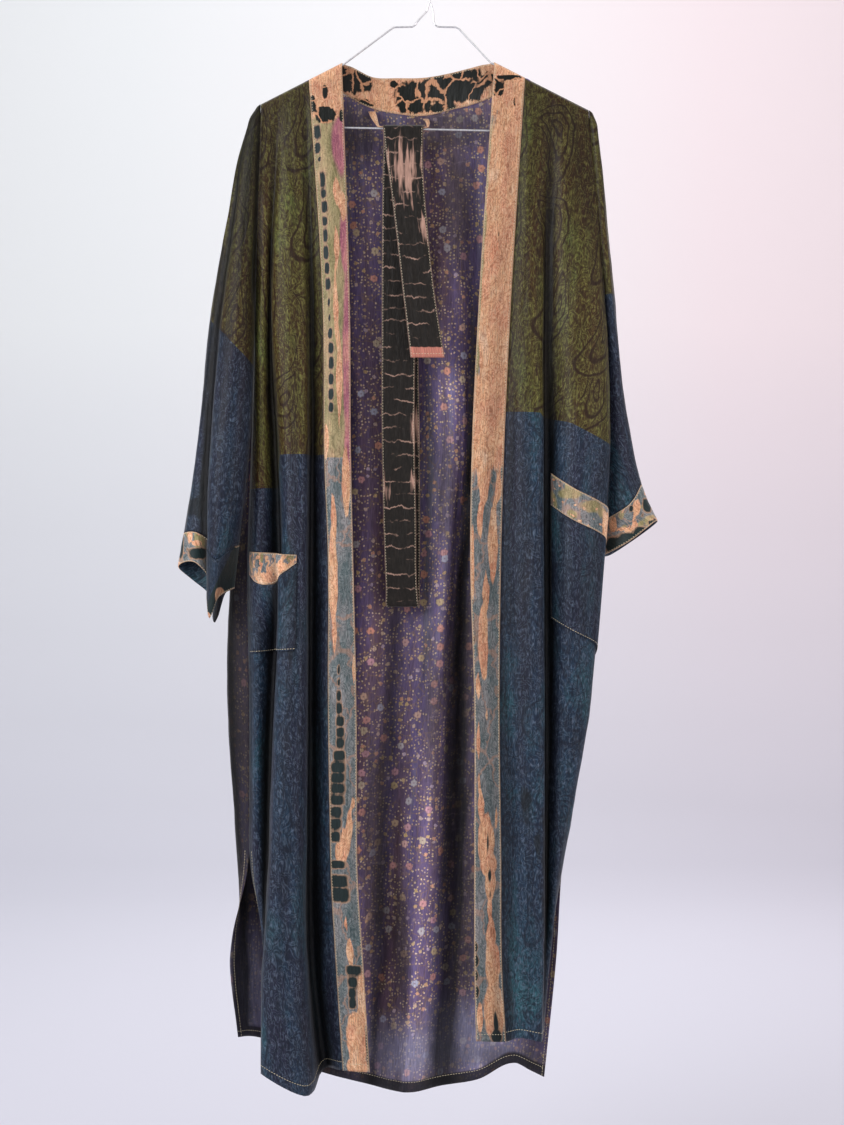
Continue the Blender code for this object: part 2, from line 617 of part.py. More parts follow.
def make_hanger(steel):
    """The wire hanger: hook and shank, two stepped arms with rounded tips, and the bar."""
    hook = arc((0.0, WIRE / MM - HOOK_RADIUS), HOOK_RADIUS, 200, -35, 20)
    end = hook[-1]
    shank = [
        (end[0] - 4.0, 0.0, end[2] - 8.5),
        (8.5, 0.0, -48.0),
        (4.0, 0.0, -56.0),
        (NECK_X, 0.0, -64.0),
        (NECK_X, 0.0, -82.0),
    ]
    tube("hanger_hook", hook + shank, WIRE, steel)

    # side, arm, tip's middle, step's x at its top, and its outer end
    for name, way, arm, tip, step, shoulder in (
        ("hanger_arm_left", -1, ARM_LEFT, TIP_X[0], -16.0, -46.5),
        ("hanger_arm_right", 1, ARM_RIGHT, TIP_X[1], 9.0, 39.5),
    ):
        slope = math.degrees(math.atan(arm[2]))
        high = wire_height(tip) - TIP_RADIUS / math.cos(math.radians(slope))
        low = bar_height(tip) + TIP_RADIUS
        neck = NECK_X + way * (WIRE / MM + 0.15)
        points = [
            (neck, 0.0, -82.6),
            (neck + way * 2.5, 0.0, -92.0),
            (step - way * 1.5, 0.0, -106.0),
            (step, 0.0, -109.5),
            (step + way * 4.0, 0.0, -111.8),
            (shoulder - way * 4.0, 0.0, -112.3),
            (shoulder, 0.0, -114.5),
            (arm[0], 0.0, arm[1]),
        ]
        points += [(x, 0.0, wire_height(x)) for x in steps(arm[0], tip - way * 3, 3)[1:]]
        points += arc((tip, high), TIP_RADIUS, 90 - way * slope, 90 - way * 90, 5)
        points += arc((tip, low), TIP_RADIUS, 90 - way * 90, 90 - way * 178, 5)
        tube(name, points, WIRE, steel)

    reach = [tip + way * 0.6 for tip, way in zip(TIP_X, (1, -1))]
    tube("hanger_bar", [(x, 0.0, bar_height(x)) for x in steps(*reach, 8)], WIRE, steel)


def belt_surface():
    """The belt's middle surface: place(u, v), u from its right edge to its left, v along its rows.

    It is a flat doubled strip, folded over the hanger's bar, with its rear part doubled back.
    """
    left, right, radius = BELT_OVER
    middle = bar_height((left + right) / 2)
    rows = [Vector(row) for row in BELT_FRONT]
    for angle in steps(-90, 90, 6):
        a = math.radians(angle)
        rows.append(Vector((left, right, middle + radius * math.cos(a), radius * math.sin(a))))
    rows += [Vector(row) for row in BELT_REAR]
    knots = [0.0]
    for a, b in zip(rows, rows[1:]):
        knots.append(knots[-1] + math.hypot(b[2] - a[2], b[3] - a[3]))

    def place(u, v):
        row = through(rows, knots, v)
        return Vector((row[1] + (row[0] - row[1]) * u, row[3], row[2])) * MM

    return place, list(range(len(rows)))


def loop_surface():
    """The neck loop's middle surface, a ribbon from the collar's seam down to the bar and back."""
    rows = [Vector(row) for row in NECK_LOOP]
    knots = [0.0]
    for a, b in zip(rows, rows[1:]):
        knots.append(knots[-1] + (Vector(b[:3]) - Vector(a[:3])).length)

    def place(u, v):
        x, y, z, wide, deep = through(rows, knots, v)
        s = 1 - 2 * u
        return Vector((x + s * wide, y - s * deep, z)) * MM

    return place, list(range(len(rows)))


def make_robe(silk, band_silk, inner_silk):
    """All the sewn pieces of the robe."""
    armhole = split_steps([TIP_LEVEL, BELOW_TIP, CHEST, 1.0], 2)
    body_rows = [-1, -0.5, 0, *armhole[:-1], *split_steps([1, 2, 3, 4, 5, 6, 7], 3)]
    left = sew_front(LEFT_FRONT, LEFT)
    right = sew_front(RIGHT_FRONT, RIGHT)
    cloth_wall("band_left", left, steps(0, 1, 3), body_rows, BAND, band_silk)
    cloth_wall("front_left", left, split_steps(list(range(1, 8)), 3), body_rows, CLOTH, silk)
    cloth_wall("front_right", right, split_steps(list(range(0, 7)), 3), body_rows, CLOTH, silk)
    cloth_wall("band_right", right, steps(6, 7, 3), body_rows, BAND, band_silk)
    turn = (0.12, 0.3, 0.6, 1.0)
    inside = split_steps(list(range(NECK_FIRST + 1, NECK_LAST)), 2)[1:-1]
    neck = [NECK_FIRST, *[NECK_FIRST + t for t in turn], *inside]
    neck += [NECK_LAST - t for t in reversed(turn)] + [NECK_LAST]
    sides = [split_steps(list(range(*span)), 2) for span in ((0, NECK_FIRST + 1), (NECK_LAST, len(BACK)))]
    back_columns = sides[0][:-1] + neck + sides[1][1:]
    cloth_wall("back", back_place, back_columns, body_rows, CLOTH, inner_silk)
    cloth_wall("collar", collar_place, neck, steps(0, 1, 3), BAND, band_silk, BAND_GAP)

    for name, lines, side in (("left", SLEEVE_LEFT, LEFT), ("right", SLEEVE_RIGHT, RIGHT)):
        sleeve = sew_sleeve(lines, side)
        round_arm = split_steps(list(range(len(lines) + 2)), 3)
        sleeve_rows = split_steps([0, 1, 2, 3, 3.5, 4, 5, 6], 2)
        cloth_wall(f"sleeve_{name}", sleeve, round_arm, sleeve_rows, CLOTH, silk)
        cloth_wall(f"cuff_{name}", sleeve, round_arm, steps(6, 7, 3), BAND, band_silk, CUFF_GAP)

    for name, panel, pocket in (("left", left, POCKET_LEFT), ("right", right, POCKET_RIGHT)):
        patch = pocket_place(panel, pocket)
        across_pocket = steps(0, 1, round((pocket.sides[1] - pocket.sides[0]) * 3))
        cloth_wall(f"pocket_band_{name}", patch, across_pocket, steps(0, 1, 3), BAND, band_silk, BAND_GAP)
        cloth_wall(f"pocket_{name}", patch, across_pocket, steps(1, 2, 6), CLOTH, silk)


def main():
    for thing in list(bpy.data.objects):
        bpy.data.objects.remove(thing, do_unlink=True)
    silk = make_finish("printed silk", "#2f3f45", 0.6)
    band_silk = make_finish("tie-dyed band silk", "#a97c5c", 0.6)
    inner_silk = make_finish("floral silk", "#3b3350", 0.6)
    steel = make_finish("steel wire", "#b9bcc0", 0.3, 1.0)
    make_hanger(steel)
    make_robe(silk, band_silk, inner_silk)
    belt, belt_rows = belt_surface()
    cloth_wall("belt", belt, steps(0, 1, 3), split_steps(belt_rows, 2), BAND, band_silk)
    loop, loop_rows = loop_surface()
    cloth_wall("neck_loop", loop, steps(0, 1, 2), split_steps(loop_rows, 2), RIBBON, band_silk)


main()
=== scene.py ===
"""Looks of a long open-front silk robe on a wire hanger: thin shells of printed and tie-dyed silk.

Each sheet lies on the same surface as its solid, worked out from the same fold lines, with finer
points, creases and crinkles. All tables are in mm, from the inside top of the hanger's hook.
"""

import math
import random
from collections import namedtuple

import bmesh
import bpy
import numpy as np
from mathutils import Matrix, Vector, noise

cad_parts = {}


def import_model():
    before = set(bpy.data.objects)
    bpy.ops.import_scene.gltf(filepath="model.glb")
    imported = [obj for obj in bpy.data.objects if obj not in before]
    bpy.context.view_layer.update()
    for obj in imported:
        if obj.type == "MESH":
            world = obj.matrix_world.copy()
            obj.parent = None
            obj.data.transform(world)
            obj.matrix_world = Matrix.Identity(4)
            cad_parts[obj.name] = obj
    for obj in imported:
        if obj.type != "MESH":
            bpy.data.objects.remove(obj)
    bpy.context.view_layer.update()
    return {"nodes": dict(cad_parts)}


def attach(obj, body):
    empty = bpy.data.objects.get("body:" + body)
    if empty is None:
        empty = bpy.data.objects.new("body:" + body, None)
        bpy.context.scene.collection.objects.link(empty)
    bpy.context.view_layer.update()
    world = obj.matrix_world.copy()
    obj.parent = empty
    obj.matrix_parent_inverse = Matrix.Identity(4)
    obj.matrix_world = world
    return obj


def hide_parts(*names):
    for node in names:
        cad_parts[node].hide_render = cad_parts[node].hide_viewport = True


MM = 0.001

BAND = 1.6 * MM  # doubled silk of bands, cuffs, collar and belt
SEAM = 0.3 * MM  # gap between two pieces that are sewn together
WIRE = 1.2 * MM  # radius of the hanger's wire
OVER_WIRE = WIRE + SEAM + BAND / 2  # middle of the cloth to the wire's middle, where it rests on it
RING = OVER_WIRE / MM
RISE = RING * 1.12  # the same straight up, as the arms slope
ON_PANEL = 2.0  # middle of a patch to the middle of the front that it lies on, in mm

# Levels within which the cloth takes up its own course again, below or beside what shapes it.
WIRE_FADES = 0.8  # below the hanger's wire
TIP_FADES = 0.1  # below the hanger's tip
CORNER_FADES = 0.3  # below a neck corner
CORNER_WRAPS = 0.4  # beside a neck corner, where the shoulder's turn over the wire ends
SLIT_FADES = 0.3  # below the top of a side slit
POCKET_FADES = 0.3  # from a pocket's side to its full stand

# Heights of the body's named levels below the hook, in mm.
UNDERARM, WAIST, HIP, THIGH, KNEE, CALF = -498, -650, -790, -968, -1158, -1298
BODY_LEVELS = (UNDERARM, WAIST, HIP, THIGH, KNEE, CALF)

# Straight arms of the hanger: (inner end x, inner end z, fall in mm for each mm outwards).
ARM_LEFT = (-107.0, -159.5, 0.509)
ARM_RIGHT = (80.0, -157.5, 0.508)
BAR_AT = (-105.0, -240.0, -0.0207)  # a point on the bar, and its slope

# A fold line of the body. x is its place at shoulder, underarm, waist, hip, thigh, knee, calf and
# hem; depth is its place front to back at underarm, hip, knee and hem; all in mm.
Fold = namedtuple("Fold", "hem x depth")
LEFT_FRONT = (
    Fold(-1431, (-109, -98, -97, -94, -90, -89, -81, -73), (-20, -25, -29, -32)),  # band's inner edge
    Fold(-1431, (-151, -132, -131, -126, -126, -123, -116, -107), (-15, -18, -21, -24)),  # band seam
    Fold(-1436, (-157, -146, -146, -148, -149, -149, -147, -130), (-4, 0, 4, 6)),  # trough
    Fold(-1453, (-165, -157, -157, -158, -158, -162, -159, -151), (-20, -34, -50, -58)),  # ridge
    Fold(-1425, (-181, -194, -181, -178, -186, -194, -202, -206), (-16, -32, -50, -60)),  # ridge's far edge
    Fold(-1428, (-189, -201, -195, -190, -199, -204, -208, -208), (0, 6, 0, -42)),  # deep trough
    Fold(-1422, (-200, -210, -210, -215, -217, -217, -208, -206), (-12, -14, -6, -14)),  # side ridge
    Fold(-1418, (-212, -220, -225, -230, -228, -228, -203, -202), (0, 6, 10, -2)),  # armhole, side seam
)
RIGHT_FRONT = (
    Fold(-1389, (204, 227, 229, 217, 199, 173, 148, 145), (6, 6, 2, -6)),  # armhole, side seam
    Fold(-1390, (193, 225, 230, 221, 205, 173, 152, 144), (-8, -10, -12, -16)),  # side fold
    Fold(-1390, (172, 178, 181, 180, 176, 163, 152, 144), (-22, -32, -24, -26)),  # soft bulge
    Fold(-1391, (155, 149, 148, 148, 149, 150, 146, 142), (-6, -6, -14, -38)),  # trough
    Fold(-1388, (147, 142, 142, 141, 142, 143, 143, 140), (-20, -38, -46, -50)),  # lapping ridge
    Fold(-1384, (136, 122, 118, 116, 115, 116, 116, 114), (-24, -34, -42, -46)),
    Fold(-1394, (123, 103, 96, 92, 90, 92, 93, 98), (-16, -20, -23, -26)),  # band seam
    Fold(-1392, (84, 62, 55, 53, 58, 58, 58, 60), (-20, -26, -29, -32)),  # band's inner edge
)
BACK = (
    Fold(-1400, (-212, -220, -225, -230, -228, -228, -253, -243), (0, 6, 10, 16)),  # armhole, side seam
    Fold(-1403, (-204, -214, -234, -252, -257, -247, -236, -229), (24, 26, 30, 32)),  # wraps to the front
    Fold(-1416, (-183, -196, -207, -215, -215, -213, -208, -202), (38, 44, 48, 50)),
    Fold(-1434, (-151, -162, -166, -169, -169, -169, -170, -175), (28, 34, 30, 32)),  # neck corner
    Fold(-1456, (-108, -110, -111, -114, -115, -118, -122, -129), (42, 50, 44, 46)),
    Fold(-1461, (-77, -76, -76, -77, -79, -83, -88, -98), (34, 34, 40, 36)),
    Fold(-1471, (-42, -40, -39, -40, -45, -54, -62, -72), (40, 46, 50, 48)),
    Fold(-1473, (-8, -1, 1, -4, -15, -28, -37, -51), (36, 38, 38, 36)),
    Fold(-1474, (31, 41, 39, 25, 13, 1, -11, -29), (26, 26, 26, 26)),  # crease down the middle
    Fold(-1472, (60, 62, 60, 49, 42, 37, 31, 18), (40, 46, 50, 50)),
    Fold(-1461, (86, 85, 83, 75, 71, 70, 69, 65), (36, 38, 42, 40)),
    Fold(-1437, (123, 126, 124, 119, 111, 108, 108, 111), (30, 34, 34, 30)),  # neck corner
    Fold(-1444, (165, 186, 186, 173, 157, 144, 139, 131), (32, 36, 30, 22)),
    Fold(-1448, (204, 227, 229, 217, 199, 173, 163, 148), (6, 6, 2, 6)),  # armhole, side seam
)
NECK_FIRST, NECK_LAST = 3, 11  # the back's fold lines at the two neck corners

# Back neck, one row for each of the back's fold lines between the neck corners: depth and height of
# the seam, then side, depth and height of the collar's free edge, in mm.
Neck = namedtuple("Neck", "seam_y seam_z edge_x edge_y edge_z")
COLLAR = (
    Neck(20, -195, -97, 14, -159),
    Neck(28, -209, -71, 28, -168),
    Neck(34, -216, -39, 36, -167),
    Neck(34, -219, -5, 34, -167),
    Neck(30, -212, 26, 26, -164),
    Neck(24, -206, 51, 18, -160),
    Neck(16, -198, 68, 9, -158),
)
CORNER_GAP = 0.035  # part of the collar's height left free where it turns onto the shoulder
CORNER_SPAN = 1.5  # fold lines over which that gap closes
COLLAR_LEAN = 2.5  # how far the middle of the collar bellies towards the back, in mm
CORNER_TURN = Vector((3, 14, -1.5))  # way in which the neck seam leaves the shoulder

# A fold line of a sleeve: where it starts round the hanger's arm in degrees (0 behind, 180 in
# front), height of its hem, then (x, depth) at the tip, below it, chest, underarm, elbow, forearm
# and hem. The armhole's two edges come from the body and go on as the underarm seam.
TIP_LEVEL, BELOW_TIP, CHEST = 0.02, 0.13, 0.46  # levels, as parts of the armhole's height
ELBOW, FOREARM = -612, -714
Line = namedtuple("Line", "start hem points")
SLEEVE_LEFT = (
    Line(148, -838, ((-214, -4), (-218, -9), (-222, -15), (-225, -24), (-226, -34), (-236, -40), (-263, -42))),
    Line(130, -862, ((-216, -4.5), (-222, -9), (-230, -17), (-240, -34), (-249, -46), (-257, -52), (-272, -48))),
    Line(116, -840, ((-217.5, -4), (-227, -8), (-240, -13), (-257, -28), (-267, -40), (-272, -46), (-276, -40))),
    Line(103, -806, ((-218.9, -3), (-230, -5), (-246, -4), (-269, -6), (-276, -8), (-279, -8), (-281, -10))),
    Line(94, -792, ((-219.8, -1.8), (-232, -3), (-250, -4), (-272, -6), (-284, -10), (-293, -12), (-295, -14))),
    Line(84, -798, ((-220.4, 0), (-232.6, 1), (-253, 4), (-279, 6), (-290, 6), (-304, 6), (-318, 4))),
    Line(66, -814, ((-219.5, 2), (-230, 6), (-251, 14), (-275, 20), (-286, 22), (-297, 20), (-302, 14))),
    Line(48, -831, ((-218, 3.5), (-226, 9), (-243, 22), (-262, 28), (-271, 28), (-280, 24), (-281, 12))),
    Line(30, -868, ((-215, 4), (-219, 10), (-231, 20), (-241, 17), (-246, 14), (-254, 8), (-268, -24))),
)
SLEEVE_RIGHT = (
    Line(30, -783, ((207, 4), (211, 9), (217, 22), (224, 38), (226, 48), (232, 54), (237, 56))),
    Line(58, -763, ((209.5, 3), (214, 9), (222, 28), (234, 50), (244, 58), (261, 62), (269, 60))),
    Line(84, -741, ((211, 0.8), (216.5, 3), (227, 16), (243, 30), (256, 36), (280, 36), (295, 32))),
    Line(112, -740, ((210.6, -1.6), (216.5, -3), (226, 2), (241, 12), (255, 14), (279, 10), (290, 6))),
    Line(146, -767, ((207.5, -3.8), (212, -7), (222, -5), (236, 2), (245, 4), (253, 0), (253, -6))),
)
# The underarm seams: hem, then (x, depth) at underarm, elbow, forearm and hem.
UNDERARM_LEFT = Line(0, -824, ((-220.6, 0), (-227.5, -1), (-237.5, -1), (-248, -5)))
UNDERARM_RIGHT = Line(0, -784, ((227.6, 6.5), (228, 20), (225, 24), (221, 22)))
UNDERARM_GAP = 0.6  # the sleeve's seam stands this far off the side seam at the underarm, as sewn
TOP_GAP = 0.9  # and this far off the body where it bends over the hanger's tip
ARMHOLE = 12.0  # how far the armhole's front and back edges stand apart, half way down
CUFF_TALL = 46.0  # height of a cuff band
CUFF_MEAN = -808.0  # height that the folded left cuff's seam keeps towards, half way from its hem

# One side of the garment: its direction, the body's fold lines at its armhole and next to it, and
# its sleeve from the front round to the back.
Side = namedtuple("Side", "way front_seam front_near back_seam back_near front_line back_line under slit")
LEFT = Side(
    -1, LEFT_FRONT[-1], LEFT_FRONT[-2], BACK[0], BACK[1], SLEEVE_LEFT[0], SLEEVE_LEFT[-1], UNDERARM_LEFT, 5.0
)
RIGHT = Side(
    1, RIGHT_FRONT[0], RIGHT_FRONT[1], BACK[-1], BACK[-2], SLEEVE_RIGHT[-1], SLEEVE_RIGHT[0], UNDERARM_RIGHT, 5.2
)

# A pocket: fold numbers of its two sides, levels of its mouth and foot at each side, how far its
# mouth stands off, and the part of its height that the band takes, from side to side.
Pocket = namedtuple("Pocket", "sides mouth foot bulge band")
POCKET_LEFT = Pocket((10 / 3, 20 / 3), (2.95, 2.92), (3.63, 3.66), 16, (0.1, 0.22, 0.31, 0.33, 0.24))
POCKET_RIGHT = Pocket((1 / 3, 8 / 3), (2.68, 2.21), (3.7, 3.41), 16, (0.25, 0.25, 0.25, 0.25, 0.24))

# The belt from its front end over the hanger's bar, down to the turn and up again behind, as rows
# of (left edge x, right edge x, height, depth), in mm. The fold over the bar comes between.
BELT_FRONT = (
    (-22, 21, -534, -17),
    (-32, 8, -449, -15),
    (-42, -1, -361, -14),
    (-51, -6, -291, -11),
    (-56, -6, -256, -7.5),
)
BELT_REAR = (
    (-57, -8, -256, 7),
    (-58, -13, -306, 8),
    (-59, -15, -459, 8),
    (-59, -17, -624, 8),
    (-57, -15, -739, 9),
    (-54, -13, -836, 10),
    (-54, -12, -846, 11.5),
    (-53, -11, -849, 14),
    (-52, -10, -846, 16.5),
    (-51, -10, -834, 18),
    (-52, -10, -700, 18),
    (-53, -12, -520, 17),
    (-54, -14, -352, 16),
)
BELT_OVER = (-57, -6, 4.6)  # left and right ends of the fold over the bar, and its radius

# The neck loop from seam to seam, as rows of (x, depth, height, half width sideways, half width
# front to back), in mm. Its bottom lies on the hanger's bar.
NECK_LOOP = (
    (-72, 25.5, -213, 4.5, 0.5),
    (-69, 18, -222, 4, 1),
    (-65, 8, -233, 2, 1.8),
    (-62, 2, -238.2, 0.6, 2),
    (-59, 0.2, -238.9, 0, 2),
    (-56, 0, -239.0, 0, 2),
    (-32, 0, -239.5, 0, 2),
    (-7, 0, -240.0, 0, 2),
    (-4, 0.2, -239.9, 0, 2),
    (-1, 2, -239.0, 0.6, 2),
    (0, 9, -234, 1.8, 1.6),
    (-1, 20, -226, 3, 0.8),
    (-3, 31, -221, 3.5, 0.3),
)


def ease(t):
    """0 to 1 with soft ends."""
    t = min(1.0, max(0.0, t))
    return t * t * (3 - 2 * t)


def through(values, knots, place, first=None, last=None, held=None):
    """A smooth curve through values at rising knots.

    place counts stretches: 2.5 is half way from the third value to the fourth. first and last are
    the slopes at its ends, and held has the two slopes, before and after, of numbered values.
    """
    count = len(values) - 1
    k = min(int(max(place, 0.0)), count - 1)
    t = place - k

    def rate(i):
        return (values[i + 1] - values[i]) / (knots[i + 1] - knots[i])

    def slope(i, after):
        if held and i in held:
            return held[i][after]
        if i == 0:
            return rate(0) if first is None else first
        if i == count:
            return rate(count - 1) if last is None else last
        before, ahead = knots[i] - knots[i - 1], knots[i + 1] - knots[i]
        return (rate(i - 1) * ahead + rate(i) * before) / (before + ahead)

    length = knots[k + 1] - knots[k]
    t2 = t * t
    t3 = t2 * t
    return (
        values[k] * (2 * t3 - 3 * t2 + 1)
        + slope(k, 1) * (length * (t3 - 2 * t2 + t))
        + values[k + 1] * (3 * t2 - 2 * t3)
        + slope(k + 1, 0) * (length * (t3 - t2))
    )


def across(points, u, first=None, last=None, held=None):
    """A smooth curve through points, with knots by their distances, so slopes are unit vectors."""
    knots = [0.0]
    for a, b in zip(points, points[1:]):
        knots.append(knots[-1] + (b - a).length)
    return through(points, knots, u, first, last, held)


def bend(before, here, after):
    """The way in which a curve passes here on its way from before to after."""
    return ((here - before).normalized() + (after - here).normalized()).normalized()


def wire_height(x):
    """Height of the middle of the hanger's arm at x, in mm."""
    side = -1 if x < 0 else 1
    inner, height, fall = ARM_LEFT if side < 0 else ARM_RIGHT
    return height - fall * side * (x - inner)


def fold_place(fold, at, toward, top=None):
    """The point of a body's fold line at a level from 0 at its top to 7 at the hem, in mm.

    At the shoulder it lies on the wire, behind it if toward is 1 and before it if -1. top is the
    depth and height of its start instead.
    """
    start_y, start_z = top or (0.0, wire_height(fold.x[0]))
    knots = [-start_z, *[-level for level in BODY_LEVELS], -fold.hem]
    k = min(int(max(at, 0.0)), len(knots) - 2)
    drop = knots[k] + (knots[k + 1] - knots[k]) * (at - k)
    apart = (fold.x[5] - fold.x[4]) / (knots[5] - knots[4])
    x = through(fold.x, knots, at, held={5: (apart, apart)})
    deep = (start_y, *fold.depth)
    deep_knots = [knots[i] for i in (0, 1, 3, 5, 7)]
    j = min(sum(1 for knot in deep_knots[1:-1] if drop >= knot), 3)
    place = j + (drop - deep_knots[j]) / (deep_knots[j + 1] - deep_knots[j])
    apart = (deep[3] - deep[2]) / (deep_knots[3] - deep_knots[2])
    y = through(deep, deep_knots, place, held={3: (apart, apart)})
    return Vector((x, y + toward * RING * (1 - ease(at / WIRE_FADES)), -drop))


def armhole_level(side, z):
    """The level of the armhole's edge at height z."""
    top = wire_height(side.front_seam.x[0])
    return min(1.0, max(0.0, (top - z) / (top - UNDERARM)))


def armhole_edge(side, at, toward):
    """The armhole's front edge, toward -1, or back edge, toward 1, at a level down to the underarm."""
    fold = side.front_seam if toward < 0 else side.back_seam
    gap = ARMHOLE / 2 * math.sin(math.pi * at) if 0 < at < 1 else 0.0
    return fold_place(fold, at, toward) + Vector((0, toward * gap, 0))


def line_heights(side, line):
    """Heights of a sleeve line's stations, from the ring round the hanger's arm to the hem."""
    top = wire_height(side.front_seam.x[0])
    levels = [top - part * (top - UNDERARM) for part in (TIP_LEVEL, BELOW_TIP, CHEST, 1.0)]
    return [top + RISE * math.sin(math.radians(line.start)), *levels, ELBOW, FOREARM, line.hem]


def line_place(side, line, at):
    """The point of a sleeve's fold line at a station number."""
    heights = line_heights(side, line)
    x_top = side.front_seam.x[0] + side.way * TOP_GAP
    start = math.radians(line.start)
    points = [Vector((x_top, RING * math.cos(start)))]
    points += [Vector(point) for point in line.points]
    fall = (ARM_LEFT if side.way < 0 else ARM_RIGHT)[2]
    knots = [-z for z in heights]
    own = (points[1] - points[0]) / (knots[1] - knots[0])
    first = own.lerp(Vector((side.way / fall, 0)), math.sin(start) ** 2)
    flat = through(points, knots, at, first=first)
    k = min(int(max(at, 0.0)), len(heights) - 2)
    z = heights[k] + (heights[k + 1] - heights[k]) * (at - k)
    return Vector((flat.x, flat.y, z))


def edge_place(side, at, toward):
    """The sleeve's edge at a station number: along the armhole, then the underarm seam."""
    heights = line_heights(side, side.under)
    heights[0] = wire_height(side.front_seam.x[0])
    k = min(int(max(at, 0.0)), len(heights) - 2)
    z = heights[k] + (heights[k + 1] - heights[k]) * (at - k)
    if z > UNDERARM:
        level = armhole_level(side, z)
        p = armhole_edge(side, level, toward)
        off = UNDERARM_GAP * ease((level - 0.8) / 0.2) + TOP_GAP * (1 - ease(level / TIP_FADES))
        return Vector((p.x + side.way * off, p.y, z))
    points = [Vector(point) for point in side.under.points]
    flat = through(points, [-z for z in heights[4:]], at - 4)
    return Vector((flat.x, flat.y, z))


def at_height(side, line, z):
    """The point of a sleeve's fold line at height z, above the elbow."""
    heights = line_heights(side, line)
    k = next((i for i in range(4) if z > heights[i + 1]), 4)
    at = k + max(0.0, (heights[k] - z) / (heights[k] - heights[k + 1]))
    return line_place(side, line, at)


def level_with(p, z):
    """A point moved to height z."""
    return Vector((p.x, p.y, z))


def side_slope(side, at, points, toward):
    """The way in which a body panel meets its side: points are its own two next to the seam.

    It goes on into the sleeve above the underarm and into the other panel down to the slit.
    """
    seam, near = points
    own = (seam - near).normalized()
    if at <= 0:
        return own
    if at < 1:
        line = side.front_line if toward < 0 else side.back_line
        other = at_height(side, line, seam.z)
        held = ease(at / TIP_FADES)
    else:
        other = fold_place(side.back_near if toward < 0 else side.front_near, at, -toward)
        held = 1 - ease((at - side.slit) / SLIT_FADES)
    flat = bend(level_with(near, seam.z), seam, level_with(other, seam.z))
    way = Vector((flat.x, flat.y, own.z))
    return own.lerp(way, held)


def over_wire(p, v, toward, full=1.0):
    """Moves a point of the level of the wire up round it: v from 0 to -1 at the top."""
    turn = -v * math.pi / 2
    p.z += RISE * math.sin(turn)
    p.y += toward * RING * (math.cos(turn) - 1) * full
    return p


def sew_front(folds, side):
    """The middle surface of a front and its band: place(u, v), u along the fold lines.

    v goes from -1 on top of the hanger's arm to 0 in front of it and 7 at the hem.
    """

    def place(u, v):
        at = max(v, 0.0)
        points = [fold_place(fold, at, -1) for fold in folds]
        seam = -1 if side.way < 0 else 0
        if at < 1:
            points[seam] = armhole_edge(side, at, -1)
        if side.way < 0:
            p = across(points, u, last=side_slope(side, at, (points[-1], points[-2]), -1))
        else:
            p = across(points, u, first=-side_slope(side, at, (points[0], points[1]), -1))
        return (over_wire(p, v, -1) if v < 0 else p) * MM

    return place


def back_place(u, v):
    """The middle surface of the back, v from -1 at the shoulder and neck seams to 7 at the hem."""
    at = max(v, 0.0)
    points = []
    for k, fold in enumerate(BACK):
        row = COLLAR[k - NECK_FIRST - 1] if NECK_FIRST < k < NECK_LAST else None
        points.append(fold_place(fold, at, 0, (row.seam_y, row.seam_z)) if row else fold_place(fold, at, 1))
    if at < 1:
        points[0] = armhole_edge(LEFT, at, 1)
        points[-1] = armhole_edge(RIGHT, at, 1)
    corner = 1 - ease(at / CORNER_FADES)
    held = {}
    for k, way in ((NECK_FIRST, 1), (NECK_LAST, -1)):
        smooth = bend(points[k - 1], points[k], points[k + 1])
        before = (points[k] - points[k - 1]).normalized()
        after = (points[k + 1] - points[k]).normalized()
        turn = Vector((CORNER_TURN.x, way * CORNER_TURN.y, way * CORNER_TURN.z)).normalized()
        ways = (before, turn) if way > 0 else (turn, after)
        held[k] = tuple(smooth.lerp(w, corner) for w in ways)
    first = -side_slope(LEFT, at, (points[0], points[1]), 1)
    last = side_slope(RIGHT, at, (points[-1], points[-2]), 1)
    p = across(points, u, first=first, last=last, held=held)
    if v < 0:
        full = 1 - ease(min(u - NECK_FIRST, NECK_LAST - u) / CORNER_WRAPS)
        p = over_wire(p, v, 1, full)
    return p * MM


def collar_place(u, v):
    """The collar stands on the back's neck edge: v is 0 at its free edge and 1 at the seam."""
    ends = [Vector((x, 0, wire_height(x) + RISE)) for x in (LEFT_FRONT[0].x[0], RIGHT_FRONT[-1].x[0])]
    edge = [ends[0], *[Vector((r.edge_x, r.edge_y, r.edge_z)) for r in COLLAR], ends[1]]
    turn = CORNER_TURN.normalized()
    back = Vector((turn.x, -turn.y, -turn.z))
    top = across(edge, u - NECK_FIRST, first=turn, last=back)
    seam = back_place(u, -1.0) / MM
    corner = min(u - NECK_FIRST, NECK_LAST - u)
    v *= 1 - CORNER_GAP * (1 - ease(corner / CORNER_SPAN))
    along = (u - NECK_FIRST) / (NECK_LAST - NECK_FIRST)
    lean = Vector((0, COLLAR_LEAN, 0)) * math.sin(math.pi * v) * math.sin(math.pi * along)
    return (top.lerp(seam, v) + lean) * MM


